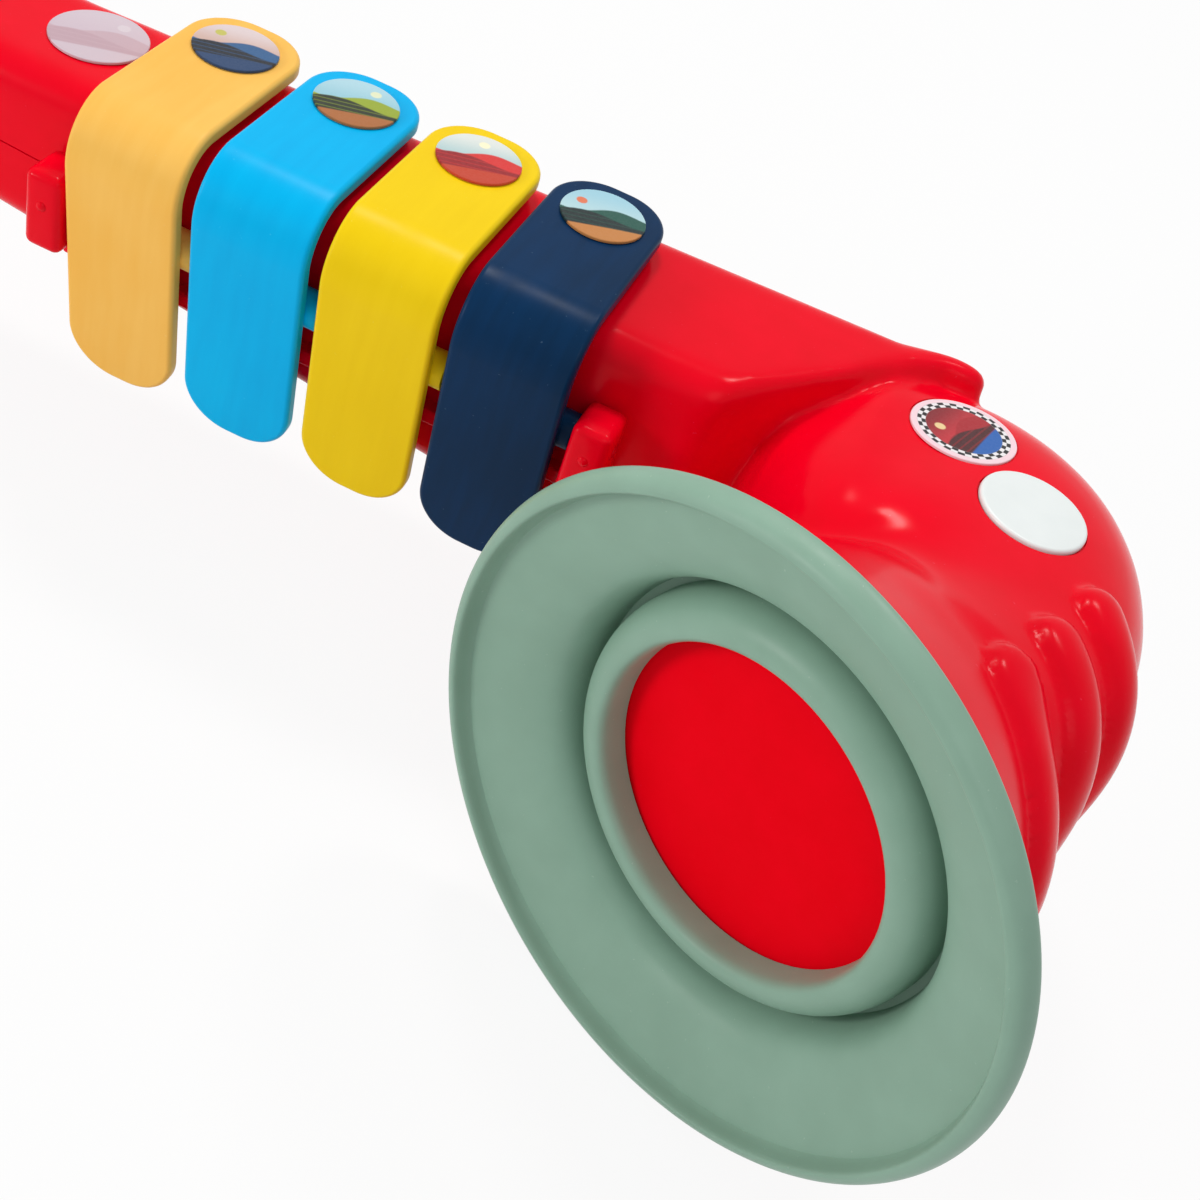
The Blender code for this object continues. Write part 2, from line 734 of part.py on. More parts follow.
def finish_lower_half(half):
    """Hinge lugs and ledge with the rod's hole, and the screws' holes."""
    join(half, *in_key_frame(lug_meshes()))
    start, end = (hinge_point(x) for x in rod_span())
    over = Vector((CUT_OVERRUN, 0, 0))
    hole = rod_mesh("rod hole", start - over, end + over, ROD_RADIUS + RUNNING_GAP)
    cut(half, *in_key_frame([hole]))
    for i, (x, y) in enumerate(SCREW_PLACES):
        seat = -SCREW_GRIP
        below = -max(BELL_RADIUS, BOW_REACH)
        shank_end = seat - CUT_OVERRUN
        shank_hole = SCREW_RADIUS + GAP
        cut(
            half,
            rod_mesh(f"screw hole {i + 1}", (x, y, CUT_OVERRUN), (x, y, shank_end), shank_hole, steps=12),
            rod_mesh(f"head hole {i + 1}", (x, y, seat), (x, y, below), SCREW_HEAD_RADIUS + GAP, steps=16),
        )


def make_body():
    """Both half shells, open at the horn for the bell and at the far end for the neck."""
    outer = body_solid("outer form", 0.0)
    smooth = surface_of(outer)
    join(outer, *[rib_mesh(f"rib {i + 1}", smooth, -RIB_FIRST - i * RIB_PITCH) for i in range(RIB_COUNT)])
    bake(outer)
    hollow = body_solid("hollow form", WALL)
    mouth = horn_centre(HORN_LENGTH)
    socket = rod_mesh(
        "bell socket",
        mouth - BELL_AXIS * (BELL_DEPTH - BELL_STANDOFF),
        mouth + BELL_AXIS * CUT_OVERRUN,
        SPIGOT_RADIUS + GAP,
        steps=BELL_STEPS,
    )
    end = Vector((-TUBE_REACH_LEFT, neck_start().y, 0))
    over = Vector((CUT_OVERRUN, 0, 0))
    neck_hole = rod_mesh("neck hole", end - over, end + over + Vector((WALL, 0, 0)), NECK_RADIUS + GAP)
    halves = []
    for name, side in (("body_upper_half", 1), ("body_lower_half", -1)):
        half = half_shell(name, outer, hollow, side)
        cut(half, socket.copy(), neck_hole.copy())
        halves.append(half)
    finish_upper_half(halves[0])
    finish_lower_half(halves[1])
    for half in halves:
        bake(half)
        half.parent = ROOT
    return smooth, halves[0]


def bell_outline():
    """The bell's section: (radius, height) with height zero at the rim's flat front."""
    seat = -BELL_STANDOFF
    floor = -BELL_DEPTH
    disc_wall = THROAT_DISC_EDGE + GAP
    roll = BELL_ROLL
    outline = [(BELL_RADIUS - roll + across * roll, -deep * roll) for across, deep in BELL_ROLL_SHARES]
    outline += [(BELL_RADIUS * across, seat * deep) for across, deep in BELL_BACK_SHARES]
    outline += [(SPIGOT_RADIUS, seat), (SPIGOT_RADIUS, floor), (disc_wall, floor)]
    outline += [(disc_wall, -THROAT_DEPTH), (THROAT_RADIUS, -THROAT_DEPTH)]
    outline += [(THROAT_RADIUS * across, floor * deep) for across, deep in COLLAR_SHARES]
    outline += [(BELL_RADIUS * across, floor * deep) for across, deep in BELL_DISH_SHARES]
    return outline


def make_bell():
    """The bell and the disc that closes its throat."""
    front = horn_centre(HORN_LENGTH + GAP + BELL_STANDOFF)
    place = Matrix.Translation(front) @ turn_to(BELL_AXIS)
    add("bell", turned_mesh("bell", bell_outline(), BELL_STEPS), GREY_GREEN, ROOT, place)
    disc = disc_mesh("throat_disc", THROAT_DISC_EDGE, THROAT_DISC_THICKNESS, steps=40)
    seat = place @ Matrix.Translation((0, 0, -THROAT_DEPTH - GAP - THROAT_DISC_THICKNESS))
    add("throat_disc", disc, RED, ROOT, seat)


def key_path():
    """Stations along a key from its back end to its lower end: place, outward normal, half width."""
    lean = Vector((0, math.sin(KEY_FLAP_LEAN), -math.cos(KEY_FLAP_LEAN)))
    turn = math.acos(max(min(Vector((0, -1, 0)).dot(lean), 1), -1))
    setback = KEY_BEND_RADIUS * math.tan(turn / 2)
    corner = Vector((0, -KEY_FRONT, 0))
    bend_start = corner + Vector((0, setback, 0))
    centre = bend_start - Vector((0, 0, KEY_BEND_RADIUS))
    back = Vector((0, KEY_BACK, 0))
    tip = corner + lean * (KEY_DROP / math.cos(KEY_FLAP_LEAN))
    stations = []

    def end_width(share):
        """Half width of the round end at a share of its length, from the tip."""
        flat = KEY_WIDTH / 2 - KEY_END_RADIUS
        return flat + KEY_END_RADIUS * math.sqrt(max(1 - (1 - share) ** 2, 0))

    first = 1 - math.cos(math.radians(90) * KEY_TIP_SHARE)
    for i in range(KEY_END_STEPS + 1):
        share = first + (1 - first) * (i / KEY_END_STEPS) ** KEY_END_CROWDING
        point = back + Vector((0, -1, 0)) * (KEY_END_RADIUS * share)
        stations.append((point, Vector((0, 0, 1)), end_width(share)))
    for i in range(KEY_BEND_STEPS + 1):
        angle = turn * i / KEY_BEND_STEPS
        normal = Vector((0, -math.sin(angle), math.cos(angle)))
        stations.append((centre + normal * KEY_BEND_RADIUS, normal, KEY_WIDTH / 2))
    flap_normal = Vector((0, -math.sin(turn), math.cos(turn)))
    for i in reversed(range(KEY_END_STEPS + 1)):
        share = first + (1 - first) * (i / KEY_END_STEPS) ** KEY_END_CROWDING
        stations.append((tip - lean * (KEY_END_RADIUS * share), flap_normal, end_width(share)))
    return stations


def key_section(point, normal, half_width):
    """A flat bar across the key with round edges, its outer face on the path."""
    radius = KEY_THICKNESS / 2
    middle = point - normal * radius
    points = []
    for side in (1, -1):
        edge = middle + Vector((side * (half_width - radius), 0, 0))
        for i in range(KEY_EDGE_STEPS + 1):
            angle = math.pi * i / KEY_EDGE_STEPS
            out = Vector((side, 0, 0)) * math.sin(angle) + normal * (math.cos(angle) * side)
            points.append(edge + out * radius)
    return points


def key_mesh(name):
    """A bent key around its hinge point, before its barrel is joined."""
    mesh = loft_mesh(name, [key_section(*station) for station in key_path()])
    mesh.transform(Matrix.Translation(-hinge_point(0)))
    return mesh


def flap_inner_y(z):
    """Where the flap's inner face lies at a height, in the key plane's space."""
    return -KEY_FRONT - z * math.tan(KEY_FLAP_LEAN) + KEY_THICKNESS / math.cos(KEY_FLAP_LEAN)


def web_meshes(room):
    """The two blocks that carry a key's barrels from its flap, around the hinge point."""
    front = flap_inner_y(HINGE_Z) - HINGE_Y - KEY_THICKNESS / 2
    half = BARREL_RADIUS * WEB_HALF_SHARE
    edge = KEY_WIDTH / 2 - KEY_THICKNESS
    for label, low, high in (("left web", -edge, -room - GAP), ("right web", room + GAP, edge)):
        yield box_mesh(label, (low, front, -half), (high, -GAP, half))


def make_keys():
    """Each key with its barrel, pad and label, on a hinge point of the rod."""
    line = empty("key_line", ROOT, KEY_FRAME)
    for i, (colour, look) in enumerate(KEY_FINISHES):
        x = i * KEY_PITCH
        place = Matrix.Translation(hinge_point(x))
        key = add(f"key_{colour}", key_mesh("blade"), look, line, place)
        start = -BARREL_LEAD
        end = start + KEY_PITCH - GAP
        room = SPRING_ROOM / 2
        left_barrel = rod_mesh("left barrel", (start, 0, 0), (-room, 0, 0), BARREL_RADIUS)
        right_barrel = rod_mesh("right barrel", (room, 0, 0), (end, 0, 0), BARREL_RADIUS)
        join(key, left_barrel, right_barrel, *web_meshes(room))
        over = CUT_OVERRUN
        cut(key, rod_mesh("bore", (start - over, 0, 0), (end + over, 0, 0), ROD_RADIUS + RUNNING_GAP))
        bake(key)
        underside = -KEY_THICKNESS - GAP
        pad_bottom = -KEY_TOP_ABOVE_TUBE + TONE_RIM_HEIGHT + GAP
        pad = disc_mesh("pad", PAD_RADIUS, underside - pad_bottom, steps=PAD_STEPS)
        at_pad = Matrix.Translation(Vector((0, TONE_Y, pad_bottom)) - hinge_point(0))
        add(f"pad_{i + 1}", pad, SOFT_PAD, key, at_pad)
        label = disc_mesh("label", LABEL_RADIUS, LABEL_THICKNESS)
        at_label = Matrix.Translation(Vector((0, 0, GAP)) - hinge_point(0))
        add(f"label_{colour}", label, PAPER, key, at_label)
        make_reed(i + 1, x, line)
        make_spring(i + 1, x, line)
    start, end = (hinge_point(x) for x in rod_span())
    add("hinge_rod", rod_mesh("hinge_rod", start, end, ROD_RADIUS), STEEL, line)


def make_reed(number, x, line):
    """A reed plate under the tone hole and the reed under its slot."""
    wide, long, thick = REED_PLATE_SIZE
    top = -KEY_TOP_ABOVE_TUBE - WALL - GAP
    plate_box = box_mesh("plate", (-wide / 2, -long / 2, -thick), (wide / 2, long / 2, 0))
    plate = add(f"reed_plate_{number}", plate_box, WHITE, line, Matrix.Translation((x, TONE_Y, top)))
    slot_wide, slot_long = REED_SLOT
    slot = box_mesh(
        "slot",
        (-slot_wide / 2, -slot_long / 2, -thick - CUT_OVERRUN),
        (slot_wide / 2, slot_long / 2, CUT_OVERRUN),
    )
    cut(plate, slot)
    wide, long, thin = REED_SIZE
    low = top - thick - GAP - thin
    reed = box_mesh("reed", (-wide / 2, -long / 2, 0), (wide / 2, long / 2, thin))
    add(f"reed_{number}", reed, BRASS, line, Matrix.Translation((x, TONE_Y, low)))


def spring_points():
    """The spring's wire round the hinge line: a leg on the wall, the curls, a leg on the flap."""
    half = SPRING_ROOM / 2 - GAP - SPRING_WIRE
    middle = hinge_point(0)
    low = HINGE_Z - SPRING_LEG_DROP
    wall_y = -TUBE_FRONT - GAP - SPRING_WIRE
    flap_y = flap_inner_y(low) + GAP + SPRING_WIRE
    start_angle = math.atan2(0, wall_y - HINGE_Y)
    count = SPRING_CURLS * SPRING_CURL_POINTS
    turns = SPRING_CURLS + 0.5
    points = [Vector((-half, wall_y, low))]
    for i in range(count + 1):
        share = i / count
        angle = start_angle - math.tau * turns * share
        reach = SPRING_RADIUS * Vector((0, math.cos(angle), math.sin(angle)))
        points.append(middle + reach + Vector((half * (2 * share - 1), 0, 0)))
    points.append(Vector((half, flap_y, low)))
    gap = 2 * half / turns - 2 * SPRING_WIRE
    print(f"least gap between the spring's curls: {gap / MM:.2f} mm, wanted {SPRING_LEAST_GAP / MM:.2f} mm")
    return points


def make_spring(number, x, line):
    curve = bpy.data.curves.new(f"spring_{number}", "CURVE")
    curve.dimensions = "3D"
    curve.bevel_depth = SPRING_WIRE
    curve.bevel_resolution = 1
    curve.use_fill_caps = True
    spline = curve.splines.new("POLY")
    points = spring_points()
    spline.points.add(len(points) - 1)
    for point, place in zip(spline.points, points):
        point.co = (*place, 1)
    obj = bpy.data.objects.new(f"spring_{number}", curve)
    obj.matrix_basis = Matrix.Translation((x, 0, 0))
    obj.parent = line
    curve.materials.append(finish(f"spring_{number}", STEEL))
    PARTS.objects.link(obj)


def seat_matrix(surface, place, radius):
    """A flat seat on the body's curved top: Z is its normal, and its edge lies on the surface."""
    centre = Vector((*place, 0))
    edge = []
    for i in range(SEAT_SAMPLES):
        angle = math.tau * i / SEAT_SAMPLES
        above = centre + radius * Vector((math.cos(angle), math.sin(angle), 0)) + UP * BELL_RADIUS
        point, _normal, _face, _distance = surface.ray_cast(above, -UP)
        edge.append(point)
    middle = sum(edge, Vector()) / len(edge)
    normal = sum(((a - middle).cross(b - middle) for a, b in zip(edge, edge[1:] + edge[:1])), Vector())
    return Matrix.Translation(middle) @ turn_to(normal)


def make_labels(surface, upper_half):
    """The label on the tube; the bow's label and white button, each on a flat seat cut for it."""
    label = disc_mesh("label_body", BODY_LABEL_RADIUS, LABEL_THICKNESS)
    place = KEY_FRAME @ Matrix.Translation((*BODY_LABEL_PLACE, -KEY_TOP_ABOVE_TUBE + GAP))
    add("label_body", label, PAPER, ROOT, place)
    for name, spot, radius, sink, thickness, rounding, look in (
        ("label_bow", BOW_LABEL_PLACE, BOW_LABEL_RADIUS, LABEL_SINK, LABEL_THICKNESS, 0.0, PAPER),
        ("white_button", BUTTON_PLACE, BUTTON_RADIUS, BUTTON_SINK, BUTTON_THICKNESS, BUTTON_ROUND, WHITE),
    ):
        seat = seat_matrix(surface, spot, radius) @ Matrix.Translation((0, 0, -sink))
        space = disc_mesh(f"{name} seat", radius + GAP, WALL + CUT_OVERRUN)
        space.transform(seat)
        cut(upper_half, space)
        disc = disc_mesh(name, radius, thickness, rounding)
        add(name, disc, look, ROOT, seat @ Matrix.Translation((0, 0, GAP)))
    bake(upper_half)


def make_screws():
    for i, (x, y) in enumerate(SCREW_PLACES):
        head_top = -SCREW_GRIP - GAP
        shank_start = (0, 0, head_top - SCREW_HEAD_HEIGHT / 2)
        shank = rod_mesh("shank", shank_start, (0, 0, SCREW_REACH), SCREW_RADIUS, steps=10)
        head = rod_mesh(
            "head", (0, 0, head_top - SCREW_HEAD_HEIGHT), (0, 0, head_top), SCREW_HEAD_RADIUS, steps=16
        )
        screw = add(f"screw_{i + 1}", head, STEEL, ROOT, Matrix.Translation((x, y, 0)))
        join(screw, shank)
        wide, deep = SCREW_SLOT
        reach = SCREW_HEAD_RADIUS + CUT_OVERRUN
        low = head_top - SCREW_HEAD_HEIGHT
        cut(screw, box_mesh("slot", (-reach, -wide / 2, low - CUT_OVERRUN), (reach, wide / 2, low + deep)))
        bake(screw)


def neck_start():
    """Middle of the tube's far end."""
    x = -TUBE_REACH_LEFT
    return Vector((x, (tube_front(x) + tube_back(x)) / 2, 0))


def neck_route(extra_start=0.0, extra_end=0.0):
    """The neck's centre line: a straight run, a bend toward +Y and a short tail."""
    start = neck_start()
    points = [start + Vector((NECK_SPIGOT + extra_start, 0, 0))]
    bend_from = start - Vector((NECK_RUN, 0, 0))
    centre = bend_from + Vector((0, NECK_BEND_RADIUS, 0))
    for i in range(NECK_BEND_STEPS + 1):
        angle = NECK_BEND * i / NECK_BEND_STEPS
        points.append(centre + NECK_BEND_RADIUS * Vector((-math.sin(angle), -math.cos(angle), 0)))
    points.append(points[-1] + neck_direction() * (NECK_TAIL + MOUTHPIECE_SOCKET + extra_end))
    return points


def neck_direction():
    """Which way the neck points at its mouthpiece end."""
    return Vector((-math.cos(NECK_BEND), math.sin(NECK_BEND), 0))


def pipe_mesh(name, points, radius):
    """A round bar along points in the parting plane."""
    sections = []
    count = ROUND_STEPS
    for i, point in enumerate(points):
        before = points[max(i - 1, 0)]
        after = points[min(i + 1, len(points) - 1)]
        along = (after - before).normalized()
        across = along.cross(UP)
        ring = []
        for k in range(count):
            angle = math.tau * k / count
            ring.append(point + (across * math.cos(angle) + UP * math.sin(angle)) * radius)
        sections.append(ring)
    return loft_mesh(name, sections)


def make_neck():
    neck = add("neck", pipe_mesh("neck", neck_route(), NECK_RADIUS), RED, ROOT)
    collar_at = neck_start() - Vector((GAP, 0, 0))
    collar_end = collar_at - Vector((NECK_COLLAR_LENGTH, 0, 0))
    join(neck, rod_mesh("collar", collar_at, collar_end, NECK_COLLAR_RADIUS))
    cut(neck, pipe_mesh("bore", neck_route(CUT_OVERRUN, CUT_OVERRUN), NECK_BORE))
    bake(neck)


def make_mouthpiece():
    """A turned mouthpiece with a slanted beak, a socket for the neck and a blowing slot."""
    base = neck_route()[-1] - neck_direction() * MOUTHPIECE_SOCKET
    place = Matrix.Translation(base) @ turn_to(neck_direction())
    length, wide, tip = MOUTHPIECE_LENGTH, MOUTHPIECE_RADIUS, MOUTHPIECE_TIP_RADIUS
    outline = [(0, length), (tip, length)]
    outline += [(wide * across, length * along) for across, along in MOUTHPIECE_SHARES]
    solid = turned_mesh("mouthpiece", outline, MOUTHPIECE_STEPS, closed=False)
    mouth = add("mouthpiece", solid, GREY_GREEN, ROOT, place)
    slope = math.atan((wide - MOUTHPIECE_TIP / 2) / MOUTHPIECE_BEAK)
    wedge = box_mesh("beak cut", (-2 * wide, 0, -2 * length), (2 * wide, 2 * length, length))
    upper = Matrix.Translation((0, MOUTHPIECE_TIP / 2, length)) @ Matrix.Rotation(slope, 4, "X")
    wedge.transform(upper)
    socket = rod_mesh("socket", (0, 0, -CUT_OVERRUN), (0, 0, MOUTHPIECE_SOCKET + GAP), NECK_RADIUS + GAP)
    bore_end = length - MOUTHPIECE_BORE_SHORT
    bore = rod_mesh("bore", (0, 0, 0), (0, 0, bore_end), MOUTHPIECE_BORE)
    slot_wide, slot_high = MOUTHPIECE_SLOT
    slot = box_mesh(
        "slot",
        (-slot_wide / 2, -slot_high / 2, bore_end - CUT_OVERRUN),
        (slot_wide / 2, slot_high / 2, length + CUT_OVERRUN),
    )
    cut(mouth, wedge, socket, bore, slot)
    bake(mouth)


def stand_on_origin():
    """Moves the whole toy so that the middle of its box's floor is the origin."""
    bpy.context.view_layer.update()
    graph = bpy.context.evaluated_depsgraph_get()
    low, high = Vector((1, 1, 1)), Vector((-1, -1, -1))
    for obj in PARTS.objects:
        if obj.type == "EMPTY":
            continue
        shown = obj.evaluated_get(graph)
        for corner in (shown.matrix_world @ vertex.co for vertex in shown.to_mesh().vertices):
            low = Vector(map(min, low, corner))
            high = Vector(map(max, high, corner))
        shown.to_mesh_clear()
    ROOT.location -= Vector(((low.x + high.x) / 2, (low.y + high.y) / 2, low.z))
    print("the toy's frame sits at", tuple(round(v / MM, 2) for v in ROOT.location), "mm")


ROOT = empty("toy_saxophone_frame")
BODY_SURFACE, UPPER_HALF = make_body()
make_labels(BODY_SURFACE, UPPER_HALF)
make_bell()
make_neck()
make_mouthpiece()
make_keys()
make_screws()
stand_on_origin()
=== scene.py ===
"""Looks for the toy saxophone: fine shells, keys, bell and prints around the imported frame.

Shapes are made in the toy's own space, where X runs along the tube and the parting plane is Z=0,
and ROOT carries them to the frame. Lengths are in metres.
"""

import json
import math

import bmesh
import bpy
import numpy as np
from mathutils import Matrix, Vector
from mathutils.bvhtree import BVHTree


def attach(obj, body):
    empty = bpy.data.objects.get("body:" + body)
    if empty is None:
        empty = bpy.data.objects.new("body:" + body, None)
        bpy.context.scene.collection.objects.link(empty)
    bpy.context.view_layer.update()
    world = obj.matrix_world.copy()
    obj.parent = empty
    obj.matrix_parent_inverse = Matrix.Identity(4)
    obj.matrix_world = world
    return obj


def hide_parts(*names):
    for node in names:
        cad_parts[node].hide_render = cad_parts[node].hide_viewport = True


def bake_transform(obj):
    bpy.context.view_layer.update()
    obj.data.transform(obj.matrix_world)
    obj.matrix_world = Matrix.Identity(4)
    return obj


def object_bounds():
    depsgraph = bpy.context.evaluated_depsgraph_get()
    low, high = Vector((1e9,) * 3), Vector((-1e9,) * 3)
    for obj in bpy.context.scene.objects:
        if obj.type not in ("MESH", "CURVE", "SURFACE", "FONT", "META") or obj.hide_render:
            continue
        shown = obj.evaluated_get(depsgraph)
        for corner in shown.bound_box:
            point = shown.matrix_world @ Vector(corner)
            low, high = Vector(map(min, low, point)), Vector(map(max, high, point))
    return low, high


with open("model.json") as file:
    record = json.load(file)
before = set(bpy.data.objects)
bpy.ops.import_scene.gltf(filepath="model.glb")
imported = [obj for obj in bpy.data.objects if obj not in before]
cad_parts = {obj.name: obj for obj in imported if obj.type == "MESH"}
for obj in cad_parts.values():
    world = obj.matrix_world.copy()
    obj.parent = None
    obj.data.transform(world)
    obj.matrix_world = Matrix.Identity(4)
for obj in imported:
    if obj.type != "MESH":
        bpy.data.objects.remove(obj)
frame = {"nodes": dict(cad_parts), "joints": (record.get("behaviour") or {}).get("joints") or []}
CAD_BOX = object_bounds()
BODY = "instrument"
MM = 0.001
X_AXIS, Y_AXIS, UP = Vector((1, 0, 0)), Vector((0, 1, 0)), Vector((0, 0, 1))

GAP = 0.3 * MM
OVER = 2 * MM
WALL = 2.2 * MM

# The tube
TUBE_LEFT = 112 * MM
TUBE_STRAIGHT = 30 * MM
TUBE_MIDDLE = 60 * MM
TUBE_HALF = 17.2 * MM
TUBE_RISE = 0.065
TUBE_END_HALF = 12.5 * MM
TUBE_FRONT = 24.3 * MM
TUBE_END_FRONT = 20 * MM
TUBE_BACK = 9 * MM
TUBE_BACK_RISE = 0.055
TUBE_EDGE = 6 * MM
TONGUE_START = 101 * MM
TONGUE_LENGTH = 41 * MM
TONGUE_DROP = 3.5 * MM
TONGUE_EDGE = 3 * MM
TONGUE_EDGE_SHARE = 0.35
TONGUE_SHARES = (
    (0.0, 0.0, 0.0), (0.06, 0.03, 0.0), (0.13, 0.11, 0.0), (0.25, 0.267, 0.0), (0.44, 0.495, 0.0),
    (0.61, 0.705, 0.0), (0.8, 0.865, 0.0), (0.9, 0.885, 0.08), (0.97, 0.9, 0.4), (1.0, 0.92, 1.0),
)

# The bow and the horn
PIVOT = Vector((127 * MM, -42 * MM, 0))
BOW_REACH = 60 * MM
BOW_HALF = 27 * MM
BOW_TURN = math.radians(116.5)
BOW_INNER_SHARE = 0.05
BOW_POWER = 4.0
# The bow's start under the tongue: lead before the pivot, front, back, half height, power
SHOULDER_SHARES = (
    (0.265, 0.49, 0.79, 0.4, 0.6), (0.23, 0.36, 0.89, 0.54, 0.64), (0.193, 0.27, 0.93, 0.62, 0.7),
    (0.147, 0.183, 0.943, 0.69, 0.78), (0.093, 0.108, 0.952, 0.76, 0.87),
    (0.043, 0.062, 0.958, 0.82, 0.95),
)
BOW_SHARES = (
    (0.0, 0.965, 0.865, 1.0), (0.1, 1.0, 0.9, 1.0), (0.18, 1.045, 0.94, 0.97),
    (0.27, 1.08, 0.98, 0.92), (0.36, 1.095, 1.005, 0.86), (0.46, 1.075, 1.02, 0.8),
    (0.58, 1.02, 1.035, 0.74), (0.72, 0.945, 1.055, 0.69), (0.86, 0.9, 1.1, 0.63),
    (1.0, 0.89, 1.16, 0.58),
)
BELL_AXIS = Vector((math.cos(BOW_TURN), -math.sin(BOW_TURN), 0))
BELL_SIDE = Vector((math.sin(BOW_TURN), math.cos(BOW_TURN), 0))
BELL_OFFSET = 23.5 * MM
HORN_LENGTH = 29.2 * MM
HORN_TAIL = 20 * MM
HORN_POWER = 2.1
HORN_END = 40.6 * MM
HORN_SHARES = (
    (0.0, 0.42, 0.45), (0.18, 0.64, 0.62), (0.38, 0.79, 0.74), (0.6, 0.89, 0.83),
    (0.84, 0.96, 0.94), (1.0, 1.0, 1.0),
)

# Finger ribs on the bow
RIB_FIRST = 2.7 * MM
RIB_PITCH = 14.2 * MM
RIB_COUNT = 3
RIB_SPAN = math.radians(67)
RIB_LEAN = math.radians(20)
RIB_HALF_WIDTH = 4.9 * MM
RIB_HEIGHT = 2.6 * MM
RIB_STEPS = 60
RIB_ZONE = 100 * MM
RIB_LEAST_SLOPE = 0.3
RIB_SOFTNESS = 0.45
RIB_ROUNDS = 3

# The bell
BELL_RADIUS = 54 * MM
BELL_DEPTH = 19 * MM
BELL_STANDOFF = 11.5 * MM
BELL_ROLL = 2.4 * MM
SPIGOT_RADIUS = 37.6 * MM
THROAT_RADIUS = 26.4 * MM
THROAT_DEPTH = 14 * MM
DISC_EDGE = 31.3 * MM
BELL_STEPS = 200
ROLL_SHARES = (
    (0.1, 0.03), (0.4, 0.16), (0.68, 0.42), (0.88, 0.8), (1.0, 1.25), (0.95, 1.6), (0.6, 1.9),
    (0.0, 2.0),
)
BACK_SHARES = ((0.93, 0.52), (0.86, 0.62), (0.785, 1.0))
COLLAR_SHARES = (
    (1.0, 0.6), (1.008, 0.52), (1.03, 0.468), (1.065, 0.45), (1.11, 0.457), (1.16, 0.487),
    (1.205, 0.54), (1.24, 0.62), (1.262, 0.73), (1.27, 0.88),
)
DISH_SHARES = (
    (0.645, 0.88), (0.652, 0.72), (0.664, 0.58), (0.685, 0.475), (0.72, 0.395), (0.77, 0.32),
    (0.83, 0.255), (0.88, 0.21), (0.925, 0.165),
)
STEP_SHARES = (
    (0.925, 0.165), (0.934, 0.155), (0.939, 0.1), (0.943, 0.04), (0.947, 0.01), (0.953, 0.0),
)

# The keys, in the sloping plane of their tops
KEY_PITCH = 23.5 * MM
KEY_WIDTH = 20.8 * MM
KEY_THICKNESS = 2.6 * MM
KEY_TOP = 5.2 * MM
KEY_BACK = 11 * MM
KEY_FRONT = 36 * MM
KEY_DROP = 54.5 * MM
KEY_BEND = 10.8 * MM
KEY_END = 9 * MM
KEY_LEAN = math.radians(6)
KEY_EDGE_OUT = 0.9 * MM
KEY_EDGE_IN = 0.5 * MM
KEY_EDGE_STEPS = 5
KEY_CORNER_STEPS = 20
# Parts into which the blade's flat, bend and flap are cut, and its cuts along
FLAT_CUTS, BEND_CUTS, FLAP_CUTS = 8, 28, 10
LONG_CUTS = (-0.6, 0.0, 0.6)
HINGE_Y = -28 * MM
HINGE_Z = -22 * MM
ROD_RADIUS = 1.5 * MM
BARREL_RADIUS = 3.3 * MM
BARREL_LEAD = 10.9 * MM
SPRING_ROOM = 6.4 * MM
SPRING_RADIUS = 2.3 * MM
SPRING_WIRE = 0.35 * MM
SPRING_TURNS = 4.5
SPRING_STEPS = 110
SPRING_LEG = 6 * MM
LUG_WIDTH = 7 * MM
LUG_FRONT = 34 * MM
LUG_TOP = 6 * MM
LUG_BOTTOM = 9 * MM
LUG_ROUND = 1.6 * MM
PIP_RADIUS = 1.1 * MM
LEDGE_REACH = 2.8 * MM
LEDGE_DROP = 10 * MM
LEDGE_HEIGHT = 3 * MM
TONE_Y = -8 * MM
TONE_HOLE = 4 * MM
TONE_RIM = 6 * MM
TONE_RIM_HEIGHT = 0.6 * MM
PAD_RADIUS = 7 * MM
COLOURS = ("orange", "light_blue", "yellow", "navy")

# Labels, button and screws
LABEL_THICKNESS = 0.3 * MM
LABEL_RADIUS = 7.5 * MM
LABEL_TURN = -0.375
BODY_LABEL_RADIUS = 8.6 * MM
BODY_LABEL_PLACE = (-22.5 * MM, -6.5 * MM)
BOW_LABEL_RADIUS = 9.3 * MM
BUTTON_RADIUS = 9.4 * MM
SEAT_OPENING = 8 * MM
# The chequered ring on the bow's label, in shares of its radius, and its picture's shrink
RING_START, RING_ROW, RING_END = 0.72, 0.08, 0.88
RING_WAVES = 20
RING_ROOM = 1.25
# Each label's landscape: sky high and low, hills far and near, ground, the sun and its place
PICTURES = {
    "orange": (
        ((222, 205, 206), (206, 172, 160)), ((46, 92, 140), (20, 26, 38)),
        (30, 62, 104), ((196, 190, 92), -0.42, 0.5),
    ),
    "light_blue": (
        ((176, 214, 226), (150, 200, 214)), ((150, 168, 44), (34, 44, 22)),
        (172, 104, 52), ((228, 232, 196), 0.4, 0.52),
    ),
    "yellow": (
        ((226, 230, 224), (178, 206, 208)), ((216, 46, 44), (150, 18, 26)),
        (196, 62, 34), ((250, 244, 206), 0.1, 0.6),
    ),
    "navy": (
        ((160, 206, 222), (184, 216, 222)), ((26, 84, 72), (12, 34, 34)),
        (196, 128, 66), ((226, 120, 84), -0.5, 0.42),
    ),
    "body": (
        ((212, 196, 206), (204, 184, 196)), ((190, 150, 160), (176, 128, 140)),
        (206, 188, 198), ((224, 214, 220), 0.4, 0.5),
    ),
    "bow": (
        ((128, 18, 30), (196, 40, 52)), ((168, 16, 32), (70, 10, 18)),
        (34, 96, 176), ((236, 206, 150), -0.35, 0.45),
    ),
}
